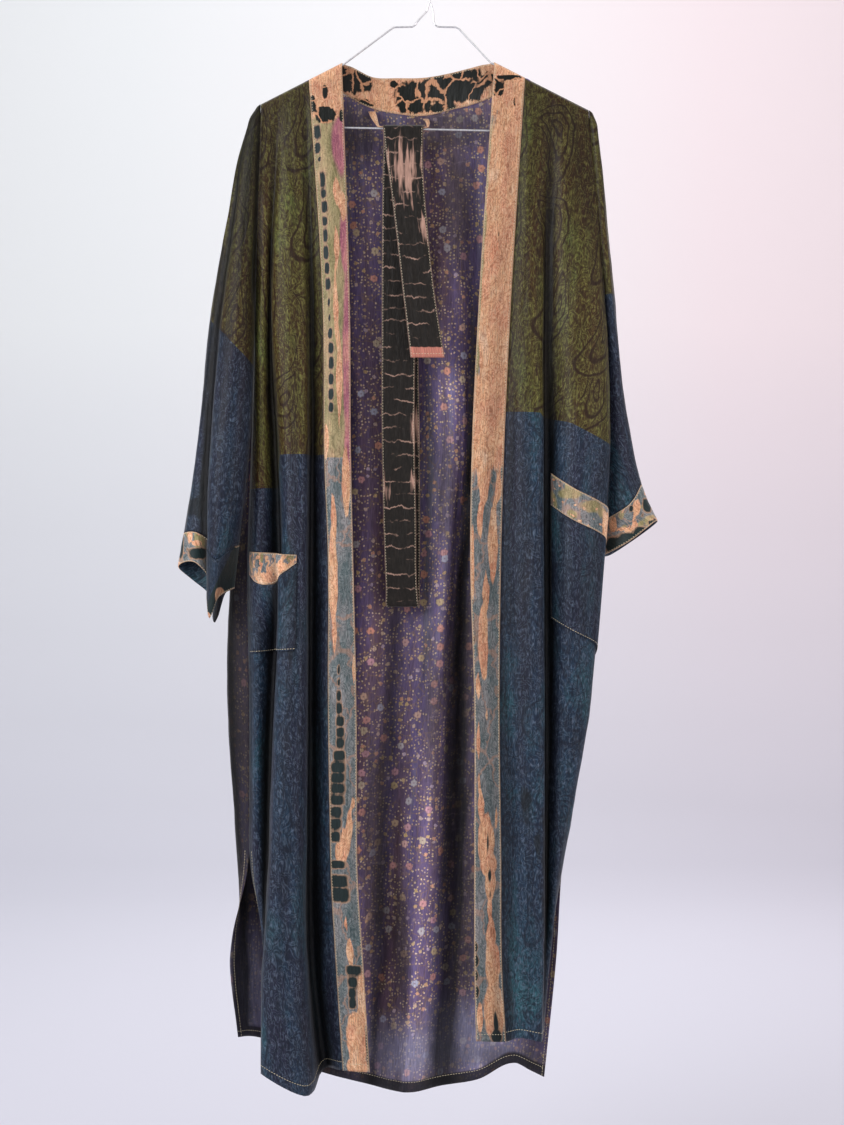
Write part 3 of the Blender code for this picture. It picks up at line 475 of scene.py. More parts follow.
def sew_sleeve(lines, side):
    """The middle surface of a sleeve, from one armhole edge round the arm to the other.

    v counts the stations from 0 at the shoulder to 5 at the elbow; 6 is the cuff seam, 7 the hem.
    """
    first_toward = side.way

    def section(u, v):
        points = [edge_place(side, v, first_toward)]
        points += [line_place(side, line, v) for line in lines]
        points.append(edge_place(side, v, -first_toward))
        seam, far = points[0], points[-1]
        out = Vector((side.way, 0, 0))
        starts = [
            ((points[1] - seam).normalized() + out).normalized(),
            ((far - points[-2]).normalized() - out).normalized(),
        ]
        if v <= 0:
            return across(points, u, first=starts[0], last=starts[1])
        loop = bend(level_with(points[-2], seam.z), seam, level_with(points[1], seam.z))
        ways = [loop, loop]
        if v < 4:
            level = armhole_level(side, seam.z)
            for k, toward in enumerate((first_toward, -first_toward)):
                body = fold_place(side.front_near if toward < 0 else side.back_near, level, toward)
                edge, own = (seam, points[1]) if k == 0 else (far, points[-2])
                flat = [level_with(p, seam.z) for p in (body, edge, own)]
                sewn = bend(*flat) if k == 0 else bend(*reversed(flat))
                sewn = starts[k].lerp(sewn, ease(level / TIP_FADES))
                ways[k] = sewn.lerp(loop, ease((level - 0.75) / 0.25))
        return across(points, u, first=ways[0], last=ways[1])

    def place(u, v):
        if v > 5:
            hem = section(u, 7.0).z
            seam_z = hem + CUFF_TALL
            if side.way < 0:
                seam_z += (CUFF_MEAN - hem) / 2
            if seam_z > FOREARM:
                cuff = 6 - (seam_z - FOREARM) / (ELBOW - FOREARM)
            else:
                cuff = 6 + (FOREARM - seam_z) / (FOREARM - hem)
            v = 5 + (v - 5) * (cuff - 5) if v < 6 else cuff + (v - 6) * (7 - cuff)
        return section(u, v) * MM

    return place


def frame_at(place, u, v, u_range, v_range):
    """A point of a surface with its two unit directions and its outward normal."""
    step = 1e-3
    u0, u1 = max(u_range[0], u - step), min(u_range[1], u + step)
    v0, v1 = max(v_range[0], v - step), min(v_range[1], v + step)
    along_u = (place(u1, v) - place(u0, v)).normalized()
    along_v = (place(u, v1) - place(u, v0)).normalized()
    return place(u, v), along_u, along_v, along_u.cross(along_v).normalized()


def steps(start, end, count):
    """count equal steps from start to end."""
    return [start + (end - start) * i / count for i in range(count + 1)]


def split_steps(knots, count):
    """Equal steps between neighbouring knots, count of them in each stretch."""
    places = [knots[0]]
    for a, b in zip(knots, knots[1:]):
        places += steps(a, b, count)[1:]
    return places


def pocket_place(panel, pocket):
    """A patch pocket on a front: s from side to side, t 0 at the mouth, 1 below the band, 2 at the foot."""

    def place(s, t):
        u = pocket.sides[0] + (pocket.sides[1] - pocket.sides[0]) * s
        top = pocket.mouth[0] + (pocket.mouth[1] - pocket.mouth[0]) * s
        low = pocket.foot[0] + (pocket.foot[1] - pocket.foot[0]) * s
        share = through(pocket.band, list(range(len(pocket.band))), s * (len(pocket.band) - 1))
        down = share * t if t < 1 else share + (1 - share) * (t - 1)
        p, _, _, normal = frame_at(panel, u, top + (low - top) * down, (0, 7), (0, 7))
        lie = p + normal * ON_PANEL * MM
        ends = [frame_at(panel, side, top, (0, 7), (0, 7)) for side in pocket.sides]
        chord = (ends[0][0].y * (1 - s) + ends[1][0].y * s) - ON_PANEL * MM
        hump = math.sin(math.pi * s)
        stand = Vector((lie.x, min(chord - pocket.bulge * MM * hump, lie.y), lie.z))
        return lie.lerp(stand, (1 - ease(down)) * ease(min(s, 1 - s) / POCKET_FADES))

    return place


def bar_height(x):
    """Height of the middle of the hanger's bar at x, in mm."""
    return BAR_AT[1] + BAR_AT[2] * (x - BAR_AT[0])


FINE = 4.2  # mm between neighbouring points of a cloth sheet
SHELL = 0.45 * MM  # drawn thickness of a layer; the real silk is about 0.2 mm thick
ALL_BLUE = 60.0  # dye mark of a piece that lies well below the olive
LEAST_WIDE = 0.01  # width in m that a narrower sheet is declared with
SLIT_INSET, HEM_INSET = 7.0, 11.0  # stitches to a slit's edge and to a hem, in mm
FIRST_STITCH = 0.8  # end of a row to its first stitch, in mm
THREAD_OUT = 0.08 * MM  # a stitch's middle beyond the face of single cloth; on doubled cloth it lies inside

Cloth = namedtuple("Cloth", "us vs places normals along down")


def hex_colour(code, alpha=1.0):
    """Linear colour of an sRGB hex value."""
    levels = [int(code[i : i + 2], 16) / 255 for i in (1, 3, 5)]
    return (*[c / 12.92 if c <= 0.04045 else ((c + 0.055) / 1.055) ** 2.4 for c in levels], alpha)


def add_node(tree, kind, links=None, stops=(), **settings):
    """Adds a shader node of a kind, which is its type without ShaderNode.

    settings are its properties, links its inputs' values or what feeds them.

    stops are the places and sRGB hex colours of a colour ramp.
    """
    node = tree.nodes.new("ShaderNode" + kind)
    for number, (place, code) in enumerate(stops):
        bar = node.color_ramp.elements
        stop = bar[number] if number < len(bar) else bar.new(place)
        stop.position = place
        stop.color = hex_colour(code)
    for name, value in settings.items():
        setattr(node, name, value)
    for name, value in (links or {}).items():
        if isinstance(value, bpy.types.NodeSocket):
            tree.links.new(value, node.inputs[name])
        else:
            node.inputs[name].default_value = value
    return node


def between(values, knots, places):
    """Rows of an array at new places, on smooth curves through its rows at rising knots."""
    knots = np.asarray(knots, float)
    shape = (-1,) + (1,) * (values.ndim - 1)
    h = np.diff(knots)
    rate = np.diff(values, axis=0) / h.reshape(shape)
    slope = np.empty_like(values)
    slope[0], slope[-1] = rate[0], rate[-1]
    before, ahead = h[:-1].reshape(shape), h[1:].reshape(shape)
    slope[1:-1] = (rate[:-1] * ahead + rate[1:] * before) / (before + ahead)
    k = np.clip(np.searchsorted(knots, places, side="right") - 1, 0, len(h) - 1)
    t = ((places - knots[k]) / h[k]).reshape(shape)
    t2, t3 = t * t, t * t * t
    length = h[k].reshape(shape)
    near = values[k] * (2 * t3 - 3 * t2 + 1) + slope[k] * length * (t3 - 2 * t2 + t)
    return near + values[k + 1] * (3 * t2 - 2 * t3) + slope[k + 1] * length * (t3 - t2)


def sizes_of(steps_between):
    """Lengths of an array of vectors."""
    return np.linalg.norm(steps_between, axis=-1)


def reach(sizes, axis):
    """Running sum of sizes along an axis, from 0."""
    start = np.zeros_like(np.take(sizes, [0], axis=axis))
    return np.concatenate((start, np.cumsum(sizes, axis=axis)), axis=axis)


def lay_out(place, us, vs, step=FINE, centre=None, level=None):
    """Even fine points on the surface place(u, v), with normals and places on the flat cloth in mm.

    centre is the u from which the flat cloth is measured across, level the v down from which.
    """
    coarse = np.array([[place(u, v)[:] for v in vs] for u in us])
    places = coarse
    fine = []
    for axis, knots in ((0, us), (1, vs)):
        run = reach(sizes_of(np.diff(coarse, axis=axis)).mean(axis=1 - axis) / MM, 0)
        spots = np.linspace(0, run[-1], max(2, round(run[-1] / step)) + 1)
        fine.append(np.interp(spots, run, knots))
        places = np.swapaxes(between(np.swapaxes(places, 0, axis), run, spots), 0, axis)
    us_fine, vs_fine = fine
    normals = np.cross(np.gradient(places, axis=0), np.gradient(places, axis=1))
    normals /= sizes_of(normals)[..., None]
    along = reach(sizes_of(np.diff(places, axis=0)) / MM, 0)
    down = reach(sizes_of(np.diff(places, axis=1)) / MM, 1)
    if centre is not None:
        along = along - along[np.abs(us_fine - centre).argmin()]
    if level is not None:
        down = down - down[:, np.abs(vs_fine - level).argmin()][:, None]
    return Cloth(us_fine, vs_fine, places, normals, along, down)


def soft(t):
    """0 to 1 with soft ends, for arrays."""
    t = np.clip(t, 0, 1)
    return t * t * (3 - 2 * t)


def from_edges(cloth):
    """Distance of each point from the cloth's nearest edge, in mm."""
    across = np.minimum(cloth.along - cloth.along[:1], cloth.along[-1:] - cloth.along)
    up = np.minimum(cloth.down - cloth.down[:, :1], cloth.down[:, -1:] - cloth.down)
    return np.minimum(across, up)


def crease_relief(cloth, creases):
    """Height in mm of soft ridges, or troughs where rise is below 0, along uneven lines."""
    relief = np.zeros_like(cloth.along)
    for number, (u0, v0, u1, v1, wide, rise) in enumerate(creases):
        ends = []
        for u, v in ((u0, v0), (u1, v1)):
            i, j = np.abs(cloth.us - u).argmin(), np.abs(cloth.vs - v).argmin()
            ends.append((cloth.along[i, j], cloth.down[i, j]))
        (a0, b0), (a1, b1) = ends
        run = math.hypot(a1 - a0, b1 - b0) or 1.0
        way = ((a1 - a0) / run, (b1 - b0) / run)
        part = ((cloth.along - a0) * way[0] + (cloth.down - b0) * way[1]) / run
        off = (cloth.along - a0) * way[1] - (cloth.down - b0) * way[0]
        off = off + wide * 0.7 * np.sin(part * 5.3 + number * 1.7)
        ends_fade = soft(part / 0.28) * soft((1 - part) / 0.28)
        uneven = 0.8 + 0.2 * np.sin(part * 9.1 + number * 2.3)
        relief += rise * uneven * ends_fade * np.exp(-((off / wide) ** 2))
    return relief


def crinkle(cloth, amount, seed):
    """Small uneven crinkles of washed silk, longer down the cloth than across it."""
    flat = zip(cloth.along.ravel(), cloth.down.ravel())
    heights = [
        noise.noise(Vector((a / 13, b / 62, seed))) + 0.45 * noise.noise(Vector((a / 6, b / 24, seed + 9)))
        for a, b in flat
    ]
    return amount * np.array(heights).reshape(cloth.along.shape)


def patch_mark(x, z, patches):
    """1 at the middle of a patch, 0.5 at its edge and 0 far off; the nearest patch counts.

    A patch is (side, height, half width, half height, power), with power 1 for a lozenge, 2 for an
    oval and more for a box.
    """
    mark = np.zeros_like(x)
    for middle, height, wide, tall, power in patches:
        off = (np.abs(x - middle) / wide) ** power + (np.abs(z - height) / tall) ** power
        mark = np.maximum(mark, np.clip(1 - off ** (1 / power) / 2, 0, 1))
    return mark


def evened(values, reach_mm, step, axis):
    """Running mean of rows of points over a reach to both sides."""
    count = max(1, round(reach_mm / step))
    rows = np.moveaxis(values, axis, 0)
    ends = [np.repeat(rows[:1], count, axis=0), rows, np.repeat(rows[-1:], count, axis=0)]
    total = np.cumsum(np.concatenate(ends), axis=0)
    total = np.concatenate((np.zeros_like(total[:1]), total))
    width = 2 * count + 1
    return np.moveaxis((total[width:] - total[:-width]) / width, 0, axis)


def fold_depth_for_painted_shade(cloth, shaped, facing):
    """How far each point lies in a fold, in mm: below the cloth within 13 mm across and 6 mm along; the silks
    are darkened by it as painted shade.
    """
    step = [np.diff(run, axis=k).mean() for k, run in enumerate((cloth.along, cloth.down))]
    mean = evened(evened(shaped, 13, step[0], 0), 6, step[1], 1)
    return ((mean - shaped) * cloth.normals).sum(axis=-1) / MM * facing


def mottle(cloth, cell, seed):
    """Even blotches of a size in mm, as 0 to 1 about 0.5."""
    draw = random.Random(seed)
    total = np.zeros_like(cloth.along)
    for _ in range(9):
        way, wave, start = draw.uniform(0, math.pi), draw.uniform(0.7, 1.5) * cell, draw.uniform(0, 6)
        run = cloth.along * math.cos(way) + cloth.down * math.sin(way)
        total += np.sin(run * 2 * math.pi / wave + start)
    return np.clip(0.5 + total / 9, 0, 1)


def make_sheet(name, cloth, relief, finish, marks, thick=SHELL, facing=1, inside=None):
    """A thin cloth shell on the fine points, raised by relief, with its flat places as a UV map.

    marks are named values of each point for its finish, and shade is added to its depth in folds, which darkens
    the colour as painted shade.
    facing is -1 where the inside is seen.
    inside is the finish of its inner face where that is another silk.
    """
    columns, rows = cloth.along.shape
    bm = bmesh.new()
    bmesh.ops.create_grid(bm, x_segments=columns - 1, y_segments=rows - 1, size=1.0)
    mesh = bpy.data.meshes.new(name)
    bm.to_mesh(mesh)
    bm.free()
    spots = np.empty(len(mesh.vertices) * 3)
    mesh.vertices.foreach_get("co", spots)
    spots = spots.reshape(-1, 3)
    i = np.rint((spots[:, 0] + 1) / 2 * (columns - 1)).astype(int)
    j = np.rint((spots[:, 1] + 1) / 2 * (rows - 1)).astype(int)
    shaped = cloth.places + cloth.normals * relief[..., None] * MM
    mesh.vertices.foreach_set("co", shaped[i, j].ravel())
    mesh.update()
    made = np.empty(len(mesh.vertices) * 3)
    mesh.vertices.foreach_get("normal", made)
    if (made.reshape(-1, 3) * cloth.normals[i, j]).sum() < 0:
        mesh.flip_normals()
    corners = np.empty(len(mesh.loops), int)
    mesh.loops.foreach_get("vertex_index", corners)
    flat = np.stack((cloth.along, -cloth.down), axis=-1)[i, j] * MM
    mesh.uv_layers.new(name="cloth").data.foreach_set("uv", flat[corners].ravel())
    # Painted shade: the depth in folds, with any extra shade, becomes the mark deep that darkens the silk's
    # colour.
    deep = fold_depth_for_painted_shade(cloth, shaped, facing) + marks.pop("shade", 0.0)
    for mark, values in {**marks, "deep": deep}.items():
        mesh.attributes.new(mark, "FLOAT", "POINT").data.foreach_set("value", values[i, j].astype(float))
    mesh.shade_smooth()
    mesh.materials.append(finish)
    piece = bpy.data.objects.new(name, mesh)
    bpy.context.collection.objects.link(piece)
    shell = piece.modifiers.new("cloth_thickness", "SOLIDIFY")
    shell.thickness = thick
    shell.offset = 0.0
    if inside:
        mesh.materials.append(inside)
        shell.material_offset = 1
    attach(piece, "root")
    return piece, shaped


def declare(piece, cloth, node):
    """Hides the solid that a sheet replaces, and works out the size it was cut to, which is not kept."""
    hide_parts(node)
    wide = max(LEAST_WIDE, sizes_of(np.diff(cloth.places, axis=0)).sum(axis=0).max())
    tall = sizes_of(np.diff(cloth.places, axis=1)).sum(axis=1).max()
    sides = np.diff(cloth.places, axis=0)[:, :-1], np.diff(cloth.places, axis=1)[:-1]


def side_path(cloth, shaped, inset, last=False):
    """Points and normals on a line down the cloth, inset mm from its first or last side."""
    order = slice(None, None, -1) if last else slice(None)
    return blend_rows(shaped[order], cloth.normals[order], inset)


def slit_path(cloth, shaped, side, last):
    """Points and normals beside a side slit, from its top to the hem."""
    points, normals = side_path(cloth, shaped, SLIT_INSET, last)
    slit = cloth.vs >= side.slit
    return points[slit], normals[slit]


def end_path(cloth, shaped, inset, last=True):
    """Points and normals on a line across the cloth, inset mm from its foot, or from its top."""
    order = slice(None, None, -1) if last else slice(None)
    return blend_rows(np.swapaxes(shaped, 0, 1)[order], np.swapaxes(cloth.normals, 0, 1)[order], inset)


def blend_rows(rows, normals, inset):
    """The line that lies inset mm in from the first of some rows of points."""
    steps_in = sizes_of(np.diff(rows, axis=0)).mean(axis=1) / MM
    run = reach(steps_in, 0)
    k = min(int(np.searchsorted(run, inset, side="right")) - 1, len(steps_in) - 1)
    t = (inset - run[k]) / steps_in[k]
    return rows[k] * (1 - t) + rows[k + 1] * t, normals[k]


def piece_from(bm, name, finish):
    """A smooth object of one material, made from a bmesh."""
    mesh = bpy.data.meshes.new(name)
    bm.to_mesh(mesh)
    bm.free()
    mesh.shade_smooth()
    mesh.materials.append(finish)
    piece = bpy.data.objects.new(name, mesh)
    bpy.context.collection.objects.link(piece)
    return piece


def sew(name, paths, thread, pitch=3.6, length=2.9, radius=0.42, side=1):
    """Rows of straight stitches on paths of points and normals, sizes in mm."""
    bm = bmesh.new()
    for points, normals in paths:
        run = reach(sizes_of(np.diff(points, axis=0)) / MM, 0)
        for start in np.arange(FIRST_STITCH, run[-1] - length, pitch):
            ends = [[np.interp(s, run, points[:, c]) for c in range(3)] for s in (start, start + length)]
            a, b = (Vector(end) for end in ends)
            middle_at = np.searchsorted(run, start + length / 2) - 1
            out = Vector(normals[middle_at]) * side
            spot = (a + b) / 2 + out * (SHELL / 2 + THREAD_OUT)
            turn = (b - a).to_track_quat("Z", "Y").to_matrix().to_4x4()
            size = Matrix.Diagonal((radius * MM, radius * MM, (b - a).length / 2, 1))
            spread = Matrix.Translation(spot) @ turn @ size
            bmesh.ops.create_icosphere(bm, subdivisions=1, radius=1.0, matrix=spread)
    piece = piece_from(bm, name, thread)
    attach(piece, "root")
    return piece


def new_finish(name):
    """An empty material with its tree and shader."""
    finish = bpy.data.materials.new(name)
    finish.use_nodes = True
    return finish, finish.node_tree, finish.node_tree.nodes["Principled BSDF"]


def layered(tree, ground, *layers):
    """Dyes and prints over a ground: each layer is a mask and the colour that shows where it is 1."""
    for mask, over in layers:
        mixed = add_node(tree, "Mix", {0: mask, 6: ground, 7: over}, data_type="RGBA")
        ground = mixed.outputs[2]
    return ground


def stretched(tree, flat, *per_metre):
    """Noise on the flat cloth, with so many features a metre across it and along it."""
    size = (per_metre[0], per_metre[1], 1.0)
    wide = add_node(tree, "VectorMath", {0: flat, 1: size}, operation="MULTIPLY").outputs[0]
    rough = {"Vector": wide, "Scale": 1.0, "Detail": 3.0, "Roughness": 0.6}
    return add_node(tree, "TexNoise", rough).outputs["Fac"]


def part_of(tree, value, low, high, full=1.0):
    """0 where a value is low, rising to full where it is high."""
    ends = {"Value": value, "From Min": low, "From Max": high, "To Max": full}
    return add_node(tree, "MapRange", ends).outputs[0]


def contour_lines(tree, flat, scale, count, width):
    """Fine curly lines, as block-printed silk has: level lines of a noise. Gives dark and light lines."""
    wide = add_node(tree, "VectorMath", {0: flat, 1: scale}, operation="MULTIPLY").outputs[0]
    hills = add_node(tree, "TexNoise", {"Vector": wide, "Scale": 1.0, "Detail": 1.5, "Distortion": 0.9})
    steep = add_node(tree, "Math", {0: hills.outputs["Fac"], 1: count}, operation="MULTIPLY").outputs[0]
    wave = add_node(tree, "Math", {0: steep, 1: 0.5}, operation="PINGPONG").outputs[0]
    return part_of(tree, wave, width, width * 0.35), part_of(tree, wave, 0.5 - width * 0.8, 0.5)


def paisley_lines(tree, flat, scale):
    """Teardrops with bent tips and rings inside them. Gives the masks of their lines and of their bodies."""
    sway = add_node(tree, "TexNoise", {"Vector": flat, "Scale": 22.0, "Detail": 2.0}).outputs["Color"]
    wide = add_node(tree, "VectorMath", {0: flat, 1: scale}, operation="MULTIPLY").outputs[0]
    shift = {0: sway, 1: (0.22, 0.22, 0.0), 2: wide}
    wide = add_node(tree, "VectorMath", shift, operation="MULTIPLY_ADD").outputs[0]
    cell = add_node(tree, "TexVoronoi", {"Vector": wide, "Scale": 1.0, "Randomness": 0.55})
    own = {0: wide, 1: cell.outputs["Position"]}
    own = add_node(tree, "VectorMath", own, operation="SUBTRACT").outputs[0]
    lot = add_node(tree, "SeparateColor", {"Color": cell.outputs["Color"]}).outputs[0]
    turn = add_node(tree, "Math", {0: lot, 1: 2.2, 2: -1.1}, operation="MULTIPLY_ADD").outputs[0]
    turned = {"Vector": own, "Angle": turn}
    turned = add_node(tree, "VectorRotate", turned, rotation_type="Z_AXIS").outputs[0]
    parts = add_node(tree, "SeparateXYZ", {0: turned})
    x, y = parts.outputs[0], parts.outputs[1]
    square = add_node(tree, "Math", {0: y, 1: y}, operation="MULTIPLY").outputs[0]
    bent = add_node(tree, "Math", {0: square, 1: -1.2, 2: x}, operation="MULTIPLY_ADD").outputs[0]
    taper = add_node(tree, "Math", {0: y, 1: -0.4, 2: 0.24}, operation="MULTIPLY_ADD").outputs[0]
    taper = add_node(tree, "Math", {0: taper, 1: 0.03}, operation="MAXIMUM").outputs[0]
    across = add_node(tree, "Math", {0: bent, 1: taper}, operation="DIVIDE").outputs[0]
    tall = add_node(tree, "Math", {0: y, 1: 0.5}, operation="DIVIDE").outputs[0]
    place = add_node(tree, "CombineXYZ", {0: across, 1: tall}).outputs[0]
    ring = add_node(tree, "VectorMath", {0: place}, operation="LENGTH").outputs["Value"]
    body = part_of(tree, ring, 1.14, 1.06)
    steep = add_node(tree, "Math", {0: ring, 1: 2.6}, operation="MULTIPLY").outputs[0]
    wave = add_node(tree, "Math", {0: steep, 1: 0.5}, operation="PINGPONG").outputs[0]
    line = part_of(tree, wave, 0.32, 0.43)
    return add_node(tree, "Math", {0: line, 1: body}, operation="MULTIPLY").outputs[0], body


def ragged(tree, name, flat, scale, rough_edge, sharp=0.03, level=0.5):
    """The mask of a dyed area with a ragged edge, where the mark of that name on the cloth passes a level."""
    mark = add_node(tree, "Attribute", attribute_name=name).outputs["Fac"]
    grain = stretched(tree, flat, *scale)
    shift = {0: grain, 1: rough_edge, 2: -0.5 * rough_edge}
    shift = add_node(tree, "Math", shift, operation="MULTIPLY_ADD").outputs[0]
    edge = add_node(tree, "Math", {0: mark, 1: shift}, operation="ADD").outputs[0]
    return part_of(tree, edge, level - sharp, level + sharp)


def silk_surface(tree, shader, flat, colour, rough=0.5, sheen=0.3):
    """Washed silk: thread streaks in the colour, a soft sheen, and a bump of crinkles and weave.

    The threads are 0.12 mm apart; they are drawn as streaks 1.2 mm wide so that they show. Shade
    is painted into the folds: the colour is darkened by the mark deep, in mm.
    """
    warp = stretched(tree, flat, 800.0, 60.0)
    lit = {"Value": warp, "From Min": 0.3, "From Max": 0.7, "To Min": 0.66, "To Max": 1.34}
    lit = add_node(tree, "MapRange", lit).outputs[0]
    # Painted shade in the folds, by the mark deep.
    deep = add_node(tree, "Attribute", attribute_name="deep").outputs["Fac"]
    shade = {"Value": deep, "From Min": -1.6, "From Max": 2.3, "To Min": 1.35, "To Max": 0.12}
    shade = add_node(tree, "MapRange", shade).outputs[0]
    lit = add_node(tree, "Math", {0: lit, 1: shade}, operation="MULTIPLY").outputs[0]
    shown = {0: colour, "Scale": lit}
    shown = add_node(tree, "VectorMath", shown, operation="SCALE").outputs[0]
    tree.links.new(shown, shader.inputs["Base Color"])
    shader.inputs["Roughness"].default_value = rough
    shader.inputs["Sheen Weight"].default_value = sheen
    shader.inputs["Sheen Roughness"].default_value = 0.4
    shader.inputs["Specular IOR Level"].default_value = 0.22
    crease = stretched(tree, flat, 150.0, 36.0)
    both = {0: warp, 1: 0.14, 2: crease}
    both = add_node(tree, "Math", both, operation="MULTIPLY_ADD").outputs[0]
    bump = add_node(tree, "Bump", {"Height": both, "Strength": 0.6, "Distance": 0.002}).outputs[0]
    tree.links.new(bump, shader.inputs["Normal"])


def make_printed_silk():
    """Printed silk, dyed in two colours: brown paisley lines on olive above, dark ones on blue below."""
    finish, tree, shader = new_finish("printed_silk")
    flat = add_node(tree, "UVMap", uv_map="cloth").outputs[0]
    cloud = stretched(tree, flat, 15.0, 7.0)
    stripe = stretched(tree, flat, 19.0, 2.2)
    fine = stretched(tree, flat, 260.0, 190.0)
    strokes = stretched(tree, flat, 420.0, 130.0)
    curls, glints = contour_lines(tree, flat, (75.0, 48.0, 1.0), 9.0, 0.2)
    paisley, bodies = paisley_lines(tree, flat, (13.5, 8.0, 1.0))
    faint = add_node(tree, "Math", {0: curls, 1: 0.55}, operation="MULTIPLY").outputs[0]
    glints = add_node(tree, "Math", {0: glints, 1: 0.28}, operation="MULTIPLY").outputs[0]
    lines = add_node(tree, "Math", {0: paisley, 1: 0.9}, operation="MULTIPLY").outputs[0]
    soft_lines = add_node(tree, "Math", {0: lines, 1: 0.7}, operation="MULTIPLY").outputs[0]
    inside = add_node(tree, "Math", {0: bodies, 1: 0.3}, operation="MULTIPLY").outputs[0]

    green = ((0.34, "#322d0f"), (0.5, "#47431d"), (0.66, "#536130"))
    green = add_node(tree, "ValToRGB", {0: cloud}, green).outputs[0]
    green = layered(
        tree,
        green,
        (part_of(tree, stripe, 0.42, 0.58, 0.9), hex_colour("#38220e")),
        (inside, hex_colour("#514b28")),
        (part_of(tree, fine, 0.44, 0.6, 0.75), hex_colour("#26160b")),
        (part_of(tree, strokes, 0.52, 0.66, 0.5), hex_colour("#79763f")),
        (glints, hex_colour("#7d8044")),
        (faint, hex_colour("#2b190e")),
        (lines, hex_colour("#22120a")),
    )
    blue = ((0.34, "#121a27"), (0.5, "#1a2e40"), (0.66, "#234a52"))
    blue = add_node(tree, "ValToRGB", {0: cloud}, blue).outputs[0]
    blue = layered(
        tree,
        blue,
        (part_of(tree, stripe, 0.44, 0.6, 0.8), hex_colour("#1d1728")),
        (part_of(tree, fine, 0.46, 0.62, 0.7), hex_colour("#10161f")),
        (part_of(tree, strokes, 0.52, 0.66, 0.45), hex_colour("#5a6474")),
        (glints, hex_colour("#5f7184")),
        (faint, hex_colour("#151d2c")),
        (soft_lines, hex_colour("#111724")),
    )
    dyed = ragged(tree, "dye", flat, (60.0, 60.0), 0.1, 0.02)
    # Painted shadow: near-black where the mark dark is set, in the deepest folds of the fronts and sleeves.
    dark = ragged(tree, "dark", flat, (90.0, 40.0), 0.5, 0.08)
    dark = add_node(tree, "Math", {0: dark, 1: 0.75}, operation="MULTIPLY").outputs[0]
    both = layered(tree, green, (dyed, blue), (dark, hex_colour("#101213")))
    silk_surface(tree, shader, flat, both, 0.5, 0.12)
    return finish


def tied_ground(tree, flat, ground, line, pitch):
    """Tie-dyed ground with pale, broken lines across it, where the thread was wound."""
    parts = add_node(tree, "SeparateXYZ", {0: flat})
    sway = stretched(tree, flat, 70.0, 30.0)
    turns = {0: parts.outputs[1], 1: 1 / pitch, 2: sway}
    turns = add_node(tree, "Math", turns, operation="MULTIPLY_ADD").outputs[0]
    wave = add_node(tree, "Math", {0: turns, 1: 0.5}, operation="PINGPONG").outputs[0]
    lines = part_of(tree, wave, 0.07, 0.02)
    there = part_of(tree, stretched(tree, flat, 38.0, 60.0), 0.45, 0.6)
    lines = add_node(tree, "Math", {0: lines, 1: there}, operation="MULTIPLY").outputs[0]
    mottle = part_of(tree, stretched(tree, flat, 240.0, 110.0), 0.45, 0.7, 0.5)
    lighter = tuple(min(1.0, level * 2.6) for level in hex_colour(ground)[:3]) + (1.0,)
    return layered(tree, hex_colour(ground), (mottle, lighter), (lines, hex_colour(line)))


